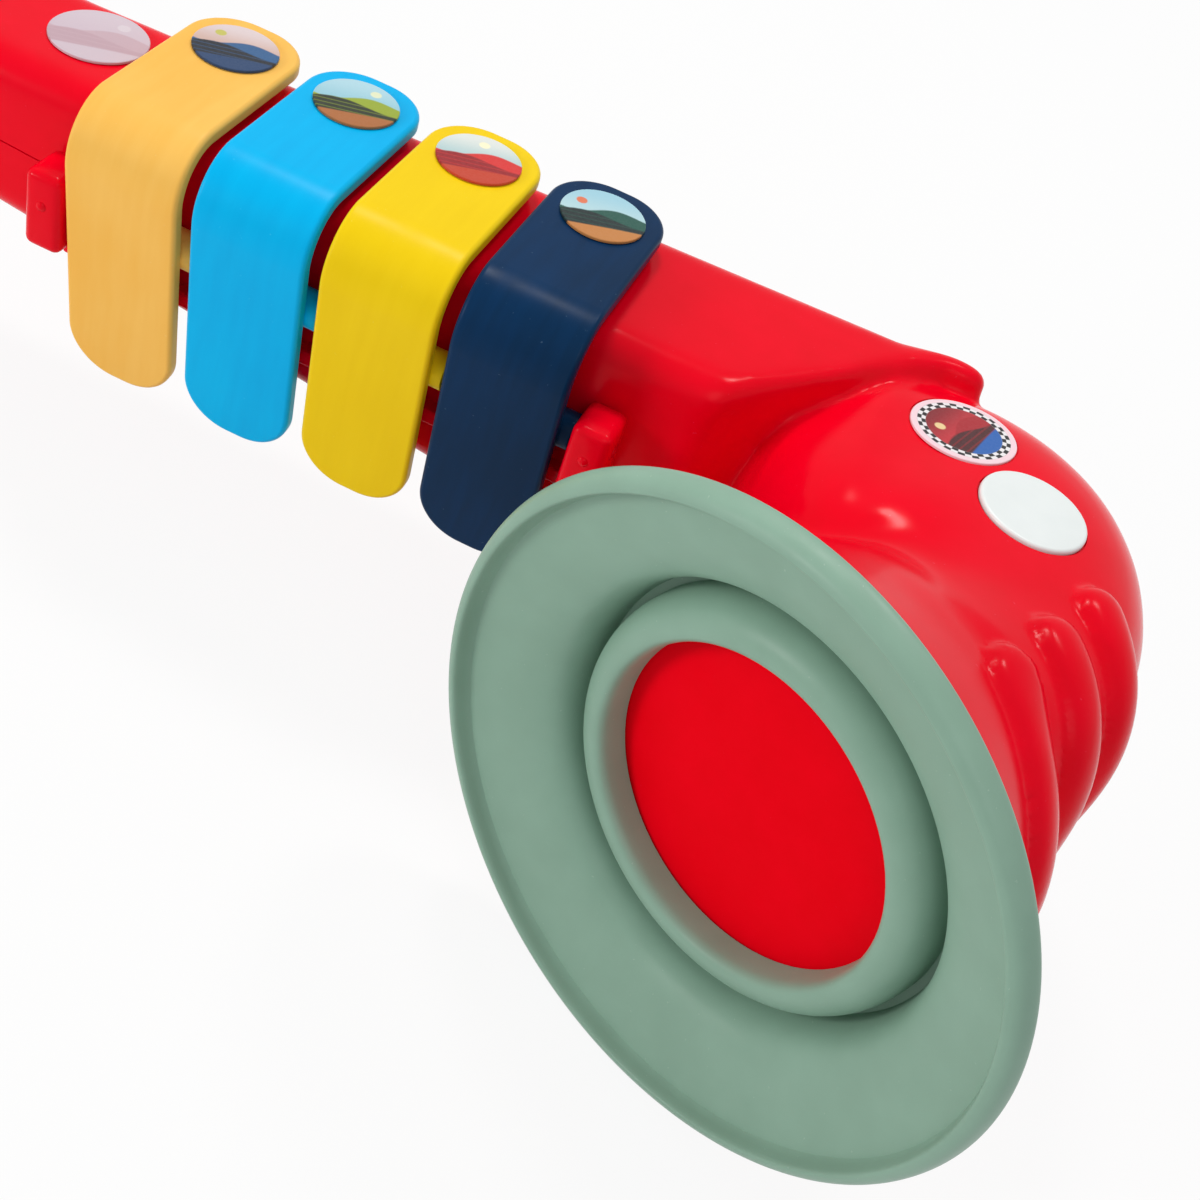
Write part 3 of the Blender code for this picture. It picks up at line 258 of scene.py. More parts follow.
# Screw places in millimetres
SCREW_PLACES = ((-92, -8), (-45, -8), (11.75, -6), (98, -4), (160, -14), (154, -58), (122, -48))
SCREW_GRIP = 7 * MM
SCREW_HOLE = 1.7 * MM
HEAD_HOLE = 3.1 * MM
BOSS_RADIUS = 4.2 * MM

# Neck and mouthpiece
NECK_RADIUS = 9.5 * MM
NECK_BORE = 6.5 * MM
NECK_RUN = 26 * MM
NECK_BEND_RADIUS = 34 * MM
NECK_BEND = math.radians(62)
NECK_TAIL = 9 * MM
NECK_STEPS = 24
NECK_SPIGOT = 10 * MM
NECK_COLLAR = 12.2 * MM
NECK_COLLAR_LENGTH = 5 * MM
MOUTH_LENGTH = 56 * MM
MOUTH_RADIUS = 12.5 * MM
MOUTH_TIP_RADIUS = 8 * MM
MOUTH_SOCKET = 12 * MM
MOUTH_BORE = 3.2 * MM
MOUTH_BEAK = 34 * MM
MOUTH_TIP = 4.4 * MM
MOUTH_SLOT = (11 * MM, 1.8 * MM)

# Fineness of the shells' skin and of the hollow in them
VOXEL = 0.75 * MM
FINENESS = 0.75 * MM / VOXEL
HOLLOW_VOXEL = 1.5 * MM
# Rounds that smooth the skin, spread its corners and fillet them, at full fineness
SMOOTH_ROUNDS, CORNER_ROUNDS, FILLET_ROUNDS = 5, 40, 60
# A corner's least bend, the further bend that makes it a full one, and its gain
CORNER_BEND, CORNER_SPAN, CORNER_GAIN = 15, 60, 6
# The crease behind the tongue stays sharper
CREASE_FRONT, CREASE_END, CREASE_SHARE = -14 * MM, 150 * MM, 0.12

SLOPE = math.atan(TUBE_RISE)
KEY_SPACE = Matrix.Translation((0, 0, TUBE_HALF + KEY_TOP)) @ Matrix.Rotation(-SLOPE, 4, "Y")
HINGE = Vector((0, HINGE_Y, HINGE_Z))
FIRST_JOINT = next(j for j in frame["joints"] if j["name"] == "key_orange_press")
ROOT = Matrix.Translation(Vector(FIRST_JOINT["pos_m"]) - KEY_SPACE @ HINGE)


# Materials

def linear(r, g, b):
    """A colour seen on screen, 0 to 255, as the linear values that a shader takes."""
    out = []
    for value in (r, g, b):
        value /= 255
        out.append(value / 12.92 if value <= 0.04045 else ((value + 0.055) / 1.055) ** 2.4)
    return (*out, 1)


class Paint:
    """A material's nodes, with short calls for the ones used here."""

    def __init__(self, name, **constants):
        self.material = bpy.data.materials.new(name)
        self.material.use_nodes = True
        self.tree = self.material.node_tree
        self.shader = self.tree.nodes["Principled BSDF"]
        for key, value in constants.items():
            self.shader.inputs[key.replace("_", " ")].default_value = value
        self.place = self.node("ShaderNodeTexCoord").outputs["Object"]

    def node(self, kind, settings=None, **inputs):
        made = self.tree.nodes.new(kind)
        for key, value in (settings or {}).items():
            setattr(made, key, value)
        for key, value in inputs.items():
            self.feed(made.inputs[key.replace("_", " ")], value)
        return made

    def feed(self, socket, value):
        if isinstance(value, bpy.types.NodeSocket):
            self.tree.links.new(value, socket)
        else:
            socket.default_value = value

    def math(self, operation, a, b=0.0):
        made = self.tree.nodes.new("ShaderNodeMath")
        made.operation = operation
        self.feed(made.inputs[0], a)
        self.feed(made.inputs[1], b)
        return made.outputs[0]

    def add(self, a, b):
        return self.math("ADD", a, b)

    def minus(self, a, b):
        return self.math("SUBTRACT", a, b)

    def times(self, a, b):
        return self.math("MULTIPLY", a, b)

    def length(self, a, b):
        return self.math("SQRT", self.add(self.times(a, a), self.times(b, b)))

    def mix(self, factor, a, b):
        made = self.tree.nodes.new("ShaderNodeMix")
        made.data_type = "RGBA"
        self.feed(made.inputs[0], factor)
        self.feed(made.inputs[6], a)
        self.feed(made.inputs[7], b)
        return made.outputs[2]

    def step(self, value, low, high):
        """0 below low, 1 above high, smooth between."""
        settings = {"interpolation_type": "SMOOTHSTEP"}
        made = self.node("ShaderNodeMapRange", settings, Value=value, From_Min=low, From_Max=high)
        return made.outputs[0]

    def span(self, value, low, high):
        """A 0 to 1 value as a value from low to high."""
        return self.node("ShaderNodeMapRange", Value=value, To_Min=low, To_Max=high).outputs[0]

    def noise(self, scale, detail=2.0, stretch=None, rough=0.5):
        place = self.place
        if stretch:
            place = self.node("ShaderNodeMapping", Vector=place, Scale=stretch).outputs[0]
        inputs = {"Vector": place, "Scale": scale, "Detail": detail, "Roughness": rough}
        return self.node("ShaderNodeTexNoise", **inputs).outputs["Fac"]

    def bump(self, height, distance, strength=1.0, under=None):
        made = self.node("ShaderNodeBump", Height=height, Distance=distance, Strength=strength)
        if under:
            self.feed(made.inputs["Normal"], under)
        return made.outputs[0]

    def set(self, **sockets):
        for key, value in sockets.items():
            self.feed(self.shader.inputs[key.replace("_", " ")], value)
        return self.material


def moulded(name, colour, darker, roughness, grain=0.0, gloss=0.5, stretch=(1, 1, 1), scuff=0.35):
    """Moulded plastic: cloudy colour, slow waves, fine grain, scuffs and dust specks."""
    paint = Paint(name, Specular_IOR_Level=gloss)
    cloud = paint.noise(28.0, 3.0)
    flow = paint.noise(160.0, 4.0, stretch)
    tint = paint.add(paint.times(cloud, 0.6), paint.times(flow, 0.4))
    shade = paint.step(tint, 0.3, 0.75)
    speck = paint.step(paint.noise(1500.0, 2.0), 0.73, 0.78)
    base = paint.mix(shade, linear(*darker), linear(*colour))
    pale = [min(255, c + (255 - c) * 0.35) for c in colour]
    base = paint.mix(paint.times(speck, scuff), base, linear(*pale))
    worn = paint.step(paint.noise(75.0, 5.0, rough=0.65), 0.5, 0.72)
    wear = paint.add(paint.times(worn, 0.6), paint.times(flow, 0.4))
    rough = paint.span(wear, roughness * 0.82, roughness * 1.28)
    wave = paint.bump(paint.noise(55.0, 1.0), 0.12 * MM, 0.5)
    fine = paint.bump(paint.noise(2600.0, 2.0), 0.02 * MM, 0.25 + grain, wave)
    return paint.set(Base_Color=base, Roughness=rough, Normal=fine)


def metal(name, colour, roughness, stretch):
    paint = Paint(name, Metallic=1.0)
    drawn = paint.noise(900.0, 4.0, stretch)
    tone = [max(0, c - 28) for c in colour]
    base = paint.mix(drawn, linear(*tone), linear(*colour))
    rough = paint.span(drawn, roughness * 0.7, roughness * 1.5)
    return paint.set(Base_Color=base, Roughness=rough, Normal=paint.bump(drawn, 0.02 * MM, 0.4))


def foam(name):
    paint = Paint(name, Sheen_Weight=0.3)
    cells = paint.node("ShaderNodeTexVoronoi", Vector=paint.place, Scale=2200.0).outputs["Distance"]
    base = paint.mix(paint.noise(300.0), linear(48, 48, 50), linear(78, 78, 80))
    rough = paint.span(cells, 0.75, 0.98)
    return paint.set(Base_Color=base, Roughness=rough, Normal=paint.bump(cells, 0.08 * MM))


RED = moulded("red_plastic", (242, 0, 34), (234, 0, 28), 0.2, gloss=0.08)
DISC_RED = moulded("red_disc", (246, 0, 24), (238, 0, 18), 0.5, gloss=0.02, scuff=0.1)
GREY_GREEN = moulded(
    "grey_green_plastic", (143, 176, 157), (135, 167, 148), 0.4, grain=0.15, gloss=0.2
)
KEY_COLOURS = {
    "orange": ((253, 200, 102), (248, 188, 84)),
    "light_blue": ((0, 188, 244), (0, 176, 236)),
    "yellow": ((248, 212, 22), (242, 204, 14)),
    "navy": ((6, 50, 90), (6, 42, 74)),
}
KEY_STRETCH = (3, 0.35, 0.35)
KEY_PAINTS = {
    name: moulded(f"{name}_plastic", *pair, 0.34, grain=0.1, gloss=0.08, stretch=KEY_STRETCH)
    for name, pair in KEY_COLOURS.items()
}
WHITE = moulded("white_plastic", (238, 243, 242), (230, 236, 235), 0.32, scuff=0.0)
PLATE = moulded("plate_plastic", (225, 228, 226), (214, 218, 216), 0.5, scuff=0.0)
STEEL = metal("steel", (196, 198, 202), 0.28, (0.2, 4, 4))
BRASS = metal("reed_brass", (214, 170, 92), 0.3, (4, 0.2, 4))
FOAM = foam("soft_pad")


def label_paint(name, radius, turn, sky, hills, ground, sun, faded=0.0, bow=False):
    """A generic printed landscape: sky, two rows of hills, a ground strip and a small sun."""
    paint = Paint(name, Coat_Weight=0.06, Coat_Roughness=0.12, Specular_IOR_Level=0.15)
    scale = (1 / radius,) * 3
    flat = paint.node("ShaderNodeMapping", Vector=paint.place, Rotation=(0, 0, turn), Scale=scale)
    parts = paint.node("ShaderNodeSeparateXYZ", Vector=flat.outputs[0])
    u, v = parts.outputs[0], parts.outputs[1]
    across, up = u, v
    if bow:
        across, up = paint.times(u, RING_ROOM), paint.times(v, RING_ROOM)

    def wave(rate, shift, size, height):
        swing = paint.math("SINE", paint.add(paint.times(across, rate), shift))
        return paint.add(paint.times(swing, size), height)

    def below(line):
        return paint.step(paint.minus(line, up), -0.03, 0.03)

    high, low = sky
    colour = paint.mix(paint.step(up, -0.1, 0.9), linear(*low), linear(*high))
    sun_colour, sun_across, sun_up = sun
    from_sun = paint.length(paint.minus(across, sun_across), paint.minus(up, sun_up))
    colour = paint.mix(paint.step(from_sun, 0.15, 0.11), colour, linear(*sun_colour))
    far, near = hills
    colour = paint.mix(below(wave(3.1, 0.6, 0.14, 0.12)), colour, linear(*far))
    bands = paint.step(paint.math("SINE", paint.times(up, 38.0)), 0.5, 0.9)
    slope = paint.mix(paint.times(bands, 0.35), linear(*near), linear(*far))
    colour = paint.mix(below(wave(2.3, 2.6, 0.17, -0.12)), colour, slope)
    colour = paint.mix(below(wave(1.2, 0.4, 0.07, -0.52)), colour, linear(*ground))
    if bow:
        reach = paint.length(u, v)
        spokes = paint.math("SINE", paint.times(paint.math("ARCTAN2", v, u), RING_WAVES))
        rows = paint.times(paint.minus(reach, RING_START), math.pi / RING_ROW)
        squares = paint.step(paint.times(spokes, paint.math("SINE", rows)), -0.08, 0.08)
        check = paint.mix(squares, linear(24, 22, 26), linear(236, 232, 234))
        for place, beyond in ((RING_START, check), (RING_END, linear(246, 214, 222))):
            colour = paint.mix(paint.step(reach, place - 0.01, place + 0.01), colour, beyond)
    if faded:
        colour = paint.mix(faded, colour, linear(208, 190, 200))
    grain = paint.noise(2400.0, 2.0)
    colour = paint.mix(paint.times(grain, 0.04), colour, linear(255, 255, 255))
    rough = paint.span(paint.noise(300.0), 0.3, 0.45)
    return paint.set(Base_Color=colour, Roughness=rough, Normal=paint.bump(grain, 0.01 * MM, 0.3))


# Meshes

def mesh_from(name, bm):
    bmesh.ops.recalc_face_normals(bm, faces=bm.faces)
    mesh = bpy.data.meshes.new(name)
    bm.to_mesh(mesh)
    bm.free()
    return mesh


def smooth(mesh, angle=35):
    mesh.shade_smooth()
    mesh.set_sharp_from_angle(angle=math.radians(angle))
    return mesh


def facing(direction):
    """A turn that points Z along a direction."""
    return direction.to_track_quat("Z", "Y").to_matrix().to_4x4()


def put(name, data, matrix=None):
    """An object in the scene, with its place if one is given."""
    obj = bpy.data.objects.new(name, data)
    bpy.context.scene.collection.objects.link(obj)
    if matrix:
        obj.matrix_world = matrix
    return obj


def piece(name, mesh, paint, body=BODY, replaces=(), local=None, printed=False):
    """A finished piece. Local is its mesh's own space, which a printed piece keeps."""
    mesh.materials.clear()
    mesh.materials.append(paint)
    if not printed:
        mesh.transform(ROOT @ local if local else ROOT)
    obj = put(name, mesh, ROOT @ local if printed else None)
    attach(obj, body)
    if replaces:
        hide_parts(*replaces)
    return obj


def rows_between(rows, count):
    """Rows of a table resampled along a smooth curve through them."""
    rows = np.array(rows, float)
    last = len(rows) - 1
    at = np.linspace(0, last, count)
    i = np.minimum(at.astype(int), last - 1)
    t = (at - i)[:, None]
    a, b = rows[i], rows[i + 1]
    slope_a = (b - rows[np.maximum(i - 1, 0)]) / np.where(i > 0, 2, 1)[:, None]
    slope_b = (rows[np.minimum(i + 2, last)] - a) / np.where(i + 2 <= last, 2, 1)[:, None]
    t2, t3 = t * t, t * t * t
    start = (2 * t3 - 3 * t2 + 1) * a + (t3 - 2 * t2 + t) * slope_a
    return start + (3 * t2 - 2 * t3) * b + (t3 - t2) * slope_b


def loft_into(bm, sections):
    """Adds a closed skin over rings of points."""
    rings = [[bm.verts.new(point) for point in section] for section in sections]
    count = len(rings[0])
    for ring, following in zip(rings, rings[1:]):
        for i in range(count):
            j = (i + 1) % count
            bm.faces.new((ring[i], ring[j], following[j], following[i]))
    bm.faces.new(rings[0])
    bm.faces.new(reversed(rings[-1]))


def loft(name, sections):
    bm = bmesh.new()
    loft_into(bm, sections)
    return mesh_from(name, bm)


def lathe_mesh(name, outline, steps, closed=True):
    """An outline of (radius, height) turned round Z. An open one starts and ends on the axis."""
    bm = bmesh.new()
    columns = []
    for k in range(steps):
        c, s = math.cos(math.tau * k / steps), math.sin(math.tau * k / steps)
        columns.append([bm.verts.new((r * c, r * s, h)) for r, h in outline])
    count = len(outline)
    for k in range(steps):
        one, two = columns[k], columns[(k + 1) % steps]
        for i in range(count if closed else count - 1):
            j = (i + 1) % count
            bm.faces.new((one[i], two[i], two[j], one[j]))
    bmesh.ops.remove_doubles(bm, verts=bm.verts, dist=0.001 * MM)
    return mesh_from(name, bm)


def rod(name, start, end, radius, steps=48, round_end=0.0):
    """A solid rod from one point to another, with rounded rims if asked."""
    start, end = Vector(start), Vector(end)
    along = end - start
    length = along.length
    part = round_end * 0.3
    outline = [(0, 0), (radius - round_end, 0)]
    if round_end:
        outline += [(radius - part, part)]
    outline += [(radius, round_end), (radius, length - round_end)]
    if round_end:
        outline += [(radius - part, length - part)]
    outline += [(radius - round_end, length), (0, length)]
    mesh = lathe_mesh(name, outline, steps, closed=False)
    mesh.transform(Matrix.Translation(start) @ facing(along.normalized()))
    return mesh


def block(name, low, high, rounding=0.0, segments=4):
    bm = bmesh.new()
    low, high = Vector(low), Vector(high)
    matrix = Matrix.Translation((low + high) / 2) @ Matrix.Diagonal((*(high - low), 1))
    bmesh.ops.create_cube(bm, size=1, matrix=matrix)
    if rounding:
        edges = bm.edges[:]
        bmesh.ops.bevel(
            bm, geom=edges, offset=rounding, segments=segments, affect="EDGES", profile=0.5
        )
    return mesh_from(name, bm)


def baked(obj):
    """The object's mesh with its modifiers, and the object gone."""
    bpy.context.view_layer.update()
    graph = bpy.context.evaluated_depsgraph_get()
    mesh = bpy.data.meshes.new_from_object(obj.evaluated_get(graph))
    bpy.data.objects.remove(obj)
    return mesh


def carve(mesh, *steps):
    """Joins ("UNION"), cuts ("DIFFERENCE") or keeps ("INTERSECT") meshes, in the order given."""
    obj = put("carved", mesh)
    helpers = []
    for operation, other in steps:
        helper = put("helper", other)
        helpers.append(helper)
        modifier = obj.modifiers.new("step", "BOOLEAN")
        modifier.operation = operation
        modifier.solver = "MANIFOLD"
        modifier.object = helper
    made = baked(obj)
    for helper in helpers:
        bpy.data.objects.remove(helper)
    return made


def points_of(mesh):
    co = np.empty(len(mesh.vertices) * 3)
    mesh.vertices.foreach_get("co", co)
    return co.reshape(-1, 3)


def normals_of(mesh):
    mesh.update()
    out = np.empty(len(mesh.vertices) * 3)
    mesh.vertices.foreach_get("normal", out)
    return out.reshape(-1, 3)


def set_points(mesh, co):
    mesh.vertices.foreach_set("co", co.reshape(-1))
    mesh.update()


def neighbours(mesh):
    """A function that gives the mean of each point's neighbours."""
    ends = np.empty(len(mesh.edges) * 2, int)
    mesh.edges.foreach_get("vertices", ends)
    a, b = ends[::2], ends[1::2]
    count = len(mesh.vertices)
    degree = np.bincount(a, minlength=count) + np.bincount(b, minlength=count)

    def mean(values):
        out = np.empty_like(values)
        for k in range(values.shape[1]):
            column = values[:, k]
            total = np.bincount(a, column[b], count) + np.bincount(b, column[a], count)
            out[:, k] = total / degree
        return out

    return mean


def relax(co, mean, weight, rounds):
    """Moves points toward the mean of their neighbours, by a weight for each point."""
    for _ in range(rounds):
        co = co + weight[:, None] * (mean(co) - co)
    return co


# The body's form

def tube_half(x):
    if x > -TUBE_STRAIGHT:
        return TUBE_HALF + TUBE_RISE * x
    start = TUBE_HALF - TUBE_RISE * TUBE_STRAIGHT
    share = (x + TUBE_STRAIGHT) / (TUBE_STRAIGHT - TUBE_LEFT)
    return start + (TUBE_END_HALF - start) * share


def tube_front(x):
    if x > -TUBE_STRAIGHT:
        return -TUBE_FRONT
    share = (x + TUBE_STRAIGHT) / (TUBE_STRAIGHT - TUBE_LEFT)
    return -TUBE_FRONT + (TUBE_FRONT - TUBE_END_FRONT) * share


def tube_back(x):
    return TUBE_BACK + TUBE_BACK_RISE * x


def tube_section(x, front, inset, drop=0.0, front_edge=TUBE_EDGE, steps=8):
    back = tube_back(x) - inset
    front = min(front + inset, back - 4 * GAP)
    half = tube_half(x) - inset - drop
    points = []
    for y, z, quarter in ((back, half, 0), (front, half, 1), (front, -half, 2), (back, -half, 3)):
        edge = front_edge if quarter in (1, 2) else TUBE_EDGE
        radius = max(min(edge - inset, (back - front) / 2 - GAP, half - GAP), GAP)
        centre_y = y - math.copysign(radius, y - (front + back) / 2)
        centre_z = z - math.copysign(radius, z)
        for step in range(steps + 1):
            angle = math.radians(90) * (quarter + step / steps)
            y_round, z_round = radius * math.cos(angle), radius * math.sin(angle)
            points.append((x, centre_y + y_round, centre_z + z_round))
    return points


def superellipse(centre, across, half_width, half_height, power, count=96):
    points = []
    for i in range(count):
        c, s = math.cos(math.tau * i / count), math.sin(math.tau * i / count)
        wide = math.copysign(abs(c) ** (2 / power), c) * half_width
        high = math.copysign(abs(s) ** (2 / power), s) * half_height
        points.append(centre + across * wide + UP * high)
    return points


def horn_centre(along):
    return PIVOT + BELL_SIDE * BELL_OFFSET + BELL_AXIS * along


def tube_mesh(inset=0.0, fine=60):
    places = (-TUBE_LEFT + inset, -TUBE_STRAIGHT, 0, TUBE_MIDDLE)
    sections = [tube_section(x, tube_front(x), inset) for x in places]
    for along, across, drop in rows_between(TONGUE_SHARES, fine):
        x = TONGUE_START - inset + along * TONGUE_LENGTH
        front = -TUBE_FRONT + across * (tube_back(x) + TUBE_FRONT)
        edge = TUBE_EDGE + (TONGUE_EDGE - TUBE_EDGE) * min(along / TONGUE_EDGE_SHARE, 1)
        sections.append(tube_section(x, front, inset, max(drop, 0) * TONGUE_DROP, edge))
    return loft("tube", sections)


def bow_mesh(inset=0.0, fine=72):
    sections = []
    for lead, front, back, high, power in rows_between(SHOULDER_SHARES, fine // 2):
        middle = Y_AXIS * (front + back) / 2 - X_AXIS * lead
        centre = PIVOT + BOW_REACH * middle + X_AXIS * inset
        half_width = (back - front) / 2 * BOW_REACH - inset
        half_height = max(high * BOW_HALF - inset, GAP)
        sections.append(superellipse(centre, Y_AXIS, half_width, half_height, power * BOW_POWER))
    for turn, reach, high, power in rows_between(BOW_SHARES, fine):
        across = Vector((math.sin(turn * BOW_TURN), math.cos(turn * BOW_TURN), 0))
        outer, inner = reach * BOW_REACH, BOW_INNER_SHARE * BOW_REACH
        centre = PIVOT + across * (outer + inner) / 2
        half_width, half_height = (outer - inner) / 2 - inset, high * BOW_HALF - inset
        sections.append(superellipse(centre, across, half_width, half_height, power * BOW_POWER))
    return loft("bow", sections)


def horn_mesh(inset=0.0, end=0.0, fine=40):
    sections = []
    for along, wide, high in rows_between(HORN_SHARES, fine):
        run = along * (HORN_LENGTH + HORN_TAIL + end - inset)
        centre = horn_centre(-HORN_TAIL + inset + run)
        half_width, half_height = wide * HORN_END - inset, high * HORN_END - inset
        sections.append(superellipse(centre, BELL_SIDE, half_width, half_height, HORN_POWER))
    return loft("horn", sections)


def tree_of(mesh):
    bm = bmesh.new()
    bm.from_mesh(mesh)
    tree = BVHTree.FromBMesh(bm)
    bm.free()
    return tree


def one_skin(meshes, voxel):
    """One closed skin round several closed meshes, in even small faces."""
    bm = bmesh.new()
    for mesh in meshes:
        bm.from_mesh(mesh)
    merged = mesh_from("merged", bm)
    obj = put("merged", merged)
    modifier = obj.modifiers.new("skin", "REMESH")
    modifier.mode = "VOXEL"
    modifier.voxel_size = voxel
    return baked(obj)


def soften(mesh, light_rounds, fillet_rounds):
    """Takes the steps off the skin, then rounds its inner corners into fillets."""
    co, mean = points_of(mesh), neighbours(mesh)
    co = relax(co, mean, np.full(len(co), 0.5), light_rounds)
    set_points(mesh, co)
    bend = ((mean(co) - co) * normals_of(mesh)).sum(1) / VOXEL ** 2
    corner = np.clip((bend - CORNER_BEND) / CORNER_SPAN, 0, 1)[:, None]
    for _ in range(int(CORNER_ROUNDS * FINENESS ** 2)):
        corner = 0.5 * corner + 0.5 * mean(corner)
    weight = np.clip(corner[:, 0] * CORNER_GAIN, 0, 1) * 0.5
    crease = (co[:, 1] > CREASE_FRONT) & (co[:, 0] < CREASE_END)
    weight = weight * np.where(crease, CREASE_SHARE, 1.0)
    set_points(mesh, relax(co, mean, weight, fillet_rounds))


def distance_to_line(co, line):
    """The distance from each point to a line of points."""
    best = np.full(len(co), 1e9)
    for a, b in zip(line, line[1:]):
        d = b - a
        t = np.clip(((co - a) @ d) / max(d @ d, 1e-18), 0, 1)
        best = np.minimum(best, np.linalg.norm(co - (a + t[:, None] * d), axis=1))
    return best


def rib_line(tree, along):
    middle = horn_centre(along)
    lean = BELL_SIDE * math.cos(RIB_LEAN) + BELL_AXIS * math.sin(RIB_LEAN)
    line = []
    for i in range(RIB_STEPS + 1):
        angle = RIB_SPAN * (2 * i / RIB_STEPS - 1)
        out = lean * math.cos(angle) + UP * math.sin(angle)
        line.append(np.array(tree.ray_cast(middle + out * 2 * BOW_REACH, -out)[0]))
    return line


def raise_ribs(mesh):
    """Three round-ended finger ribs, pushed out of the skin, but in X not past the CAD's box."""
    tree = tree_of(mesh)
    co, out = points_of(mesh), normals_of(mesh)
    lift = np.zeros(len(co))
    near = co[:, 0] > RIB_ZONE
    for k in range(RIB_COUNT):
        gap = np.full(len(co), 1.0)
        gap[near] = distance_to_line(co[near], rib_line(tree, -RIB_FIRST - k * RIB_PITCH))
        share = np.clip(gap / RIB_HALF_WIDTH, 0, 1)
        lift = np.maximum(lift, RIB_HEIGHT * np.sqrt(1 - share ** 2))
    room = CAD_BOX[1][0] - ROOT.translation.x - co[:, 0]
    room = np.maximum(room / np.maximum(out[:, 0], RIB_LEAST_SLOPE), 0)
    co = co + np.minimum(lift, room)[:, None] * out
    mean = neighbours(mesh)
    weight = np.where(lift > 0, RIB_SOFTNESS, 0.0)[:, None]
    weight = np.maximum(weight, mean(weight))[:, 0]
    set_points(mesh, relax(co, mean, weight, RIB_ROUNDS))


def body_form():
    skin = one_skin([tube_mesh(), bow_mesh(), horn_mesh()], VOXEL)
    soften(skin, max(2, int(SMOOTH_ROUNDS * FINENESS)), int(FILLET_ROUNDS * FINENESS ** 2))
    raise_ribs(skin)
    return skin


def plan_seat(node):
    """The space of a flat round CAD node, with Z along its axis from its bottom, and its height."""
    co = points_of(frame["nodes"][node].data)
    middle = co.mean(0)
    _, _, axes = np.linalg.svd(co - middle)
    normal = Vector(axes[2])
    if normal.z < 0:
        normal = -normal
    depth = (co - middle) @ np.array(normal)
    top = Vector(middle) + normal * depth.max()
    bottom = Vector(middle) + normal * depth.min()
    return ROOT.inverted() @ Matrix.Translation(bottom) @ facing(normal), (top - bottom).length


def in_keys(mesh):
    """A mesh made in the space of the keys, moved into the toy's own."""
    mesh.transform(KEY_SPACE)
    return mesh


def lug_meshes():
    """The rod's two lugs, each with a pip and a root in the wall, and the ledge below."""
    first = -BARREL_LEAD - GAP
    last = first + len(COLOURS) * KEY_PITCH + GAP
    solids = []
    for near, away in ((first, -1), (last, 1)):
        low, high = sorted((near, near + away * LUG_WIDTH))
        top, bottom = HINGE_Z + LUG_TOP, HINGE_Z - LUG_BOTTOM
        near_corner, far_corner = (low, -LUG_FRONT, bottom), (high, -TUBE_FRONT - GAP, top)
        solids.append(block("lug", near_corner, far_corner, LUG_ROUND, 5))
        bm = bmesh.new()
        face = Matrix.Translation(((low + high) / 2, -LUG_FRONT + PIP_RADIUS / 2, HINGE_Z))
        bmesh.ops.create_uvsphere(bm, u_segments=24, v_segments=16, radius=PIP_RADIUS, matrix=face)
        solids.append(mesh_from("pip", bm))
        parting = -(TUBE_HALF + KEY_TOP) / math.cos(SLOPE) - high * math.tan(SLOPE)
        root_top = parting - GAP - LUG_ROUND
        root_bottom = min(bottom + LUG_ROUND / 2, root_top - 5 * MM)
        near_corner = (low + LUG_ROUND / 2, -LUG_FRONT + LUG_ROUND, root_bottom)
        far_corner = (high - LUG_ROUND / 2, -TUBE_FRONT + WALL / 2, root_top)
        solids.append(block("root", near_corner, far_corner))
    ledge_top = HINGE_Z - LEDGE_DROP
    near_corner = (first - LUG_WIDTH / 2, -TUBE_FRONT - LEDGE_REACH, ledge_top - LEDGE_HEIGHT)
    far_corner = (last + LUG_WIDTH / 2, -TUBE_FRONT + WALL / 2, ledge_top)
    solids.append(block("ledge", near_corner, far_corner, 0.5 * MM, 3))
    return solids


def rod_span():
    first = -BARREL_LEAD - GAP - LUG_WIDTH
    last = -BARREL_LEAD + len(COLOURS) * KEY_PITCH + LUG_WIDTH
    return Vector((first + GAP, HINGE_Y, HINGE_Z)), Vector((last - GAP, HINGE_Y, HINGE_Z))


def half_block(side):
    far = 0.4
    low, high = sorted((GAP / 2 * side, far * side))
    return block("half space", (-far, -far, low), (far, far, high))


def neck_start():
    x = -TUBE_LEFT
    return Vector((x, (tube_front(x) + tube_back(x)) / 2, 0))


def upper_steps():
    """The tone holes with their rims, and the seats of the bow's label and the button."""
    steps = []
    for i in range(len(COLOURS)):
        x, top = i * KEY_PITCH, -KEY_TOP
        foot, rim_top = (x, TONE_Y, top - WALL / 2), (x, TONE_Y, top + TONE_RIM_HEIGHT)
        steps.append(("UNION", in_keys(rod("rim", foot, rim_top, TONE_RIM, 48))))
        low, high = (x, TONE_Y, top - WALL - OVER), (x, TONE_Y, top + OVER)
        steps.append(("DIFFERENCE", in_keys(rod("hole", low, high, TONE_HOLE, 48))))
    for node, radius in (("label_bow", BOW_LABEL_RADIUS), ("white_button", BUTTON_RADIUS)):
        place, _ = plan_seat(node)
        space = rod("seat", (0, 0, -GAP), (0, 0, SEAT_OPENING), radius + GAP, 96)
        space.transform(place)
        steps.append(("DIFFERENCE", space))
    return steps


def lower_steps(over, far):
    """The lugs and the ledge, the bore for the keys' rod, and the screw holes."""
    steps = [("UNION", in_keys(mesh)) for mesh in lug_meshes()]
    start, finish = rod_span()
    bore = rod("bore", start - over, finish + over, ROD_RADIUS + GAP / 2, 32)
    steps.append(("DIFFERENCE", in_keys(bore)))
    for x, y in SCREW_PLACES:
        x, y = x * MM, y * MM
        shank = rod("shank", (x, y, OVER), (x, y, -SCREW_GRIP - OVER), SCREW_HOLE, 24)
        head = rod("head", (x, y, -SCREW_GRIP), (x, y, far), HEAD_HOLE, 32)
        steps += [("DIFFERENCE", shank), ("DIFFERENCE", head)]
    return steps


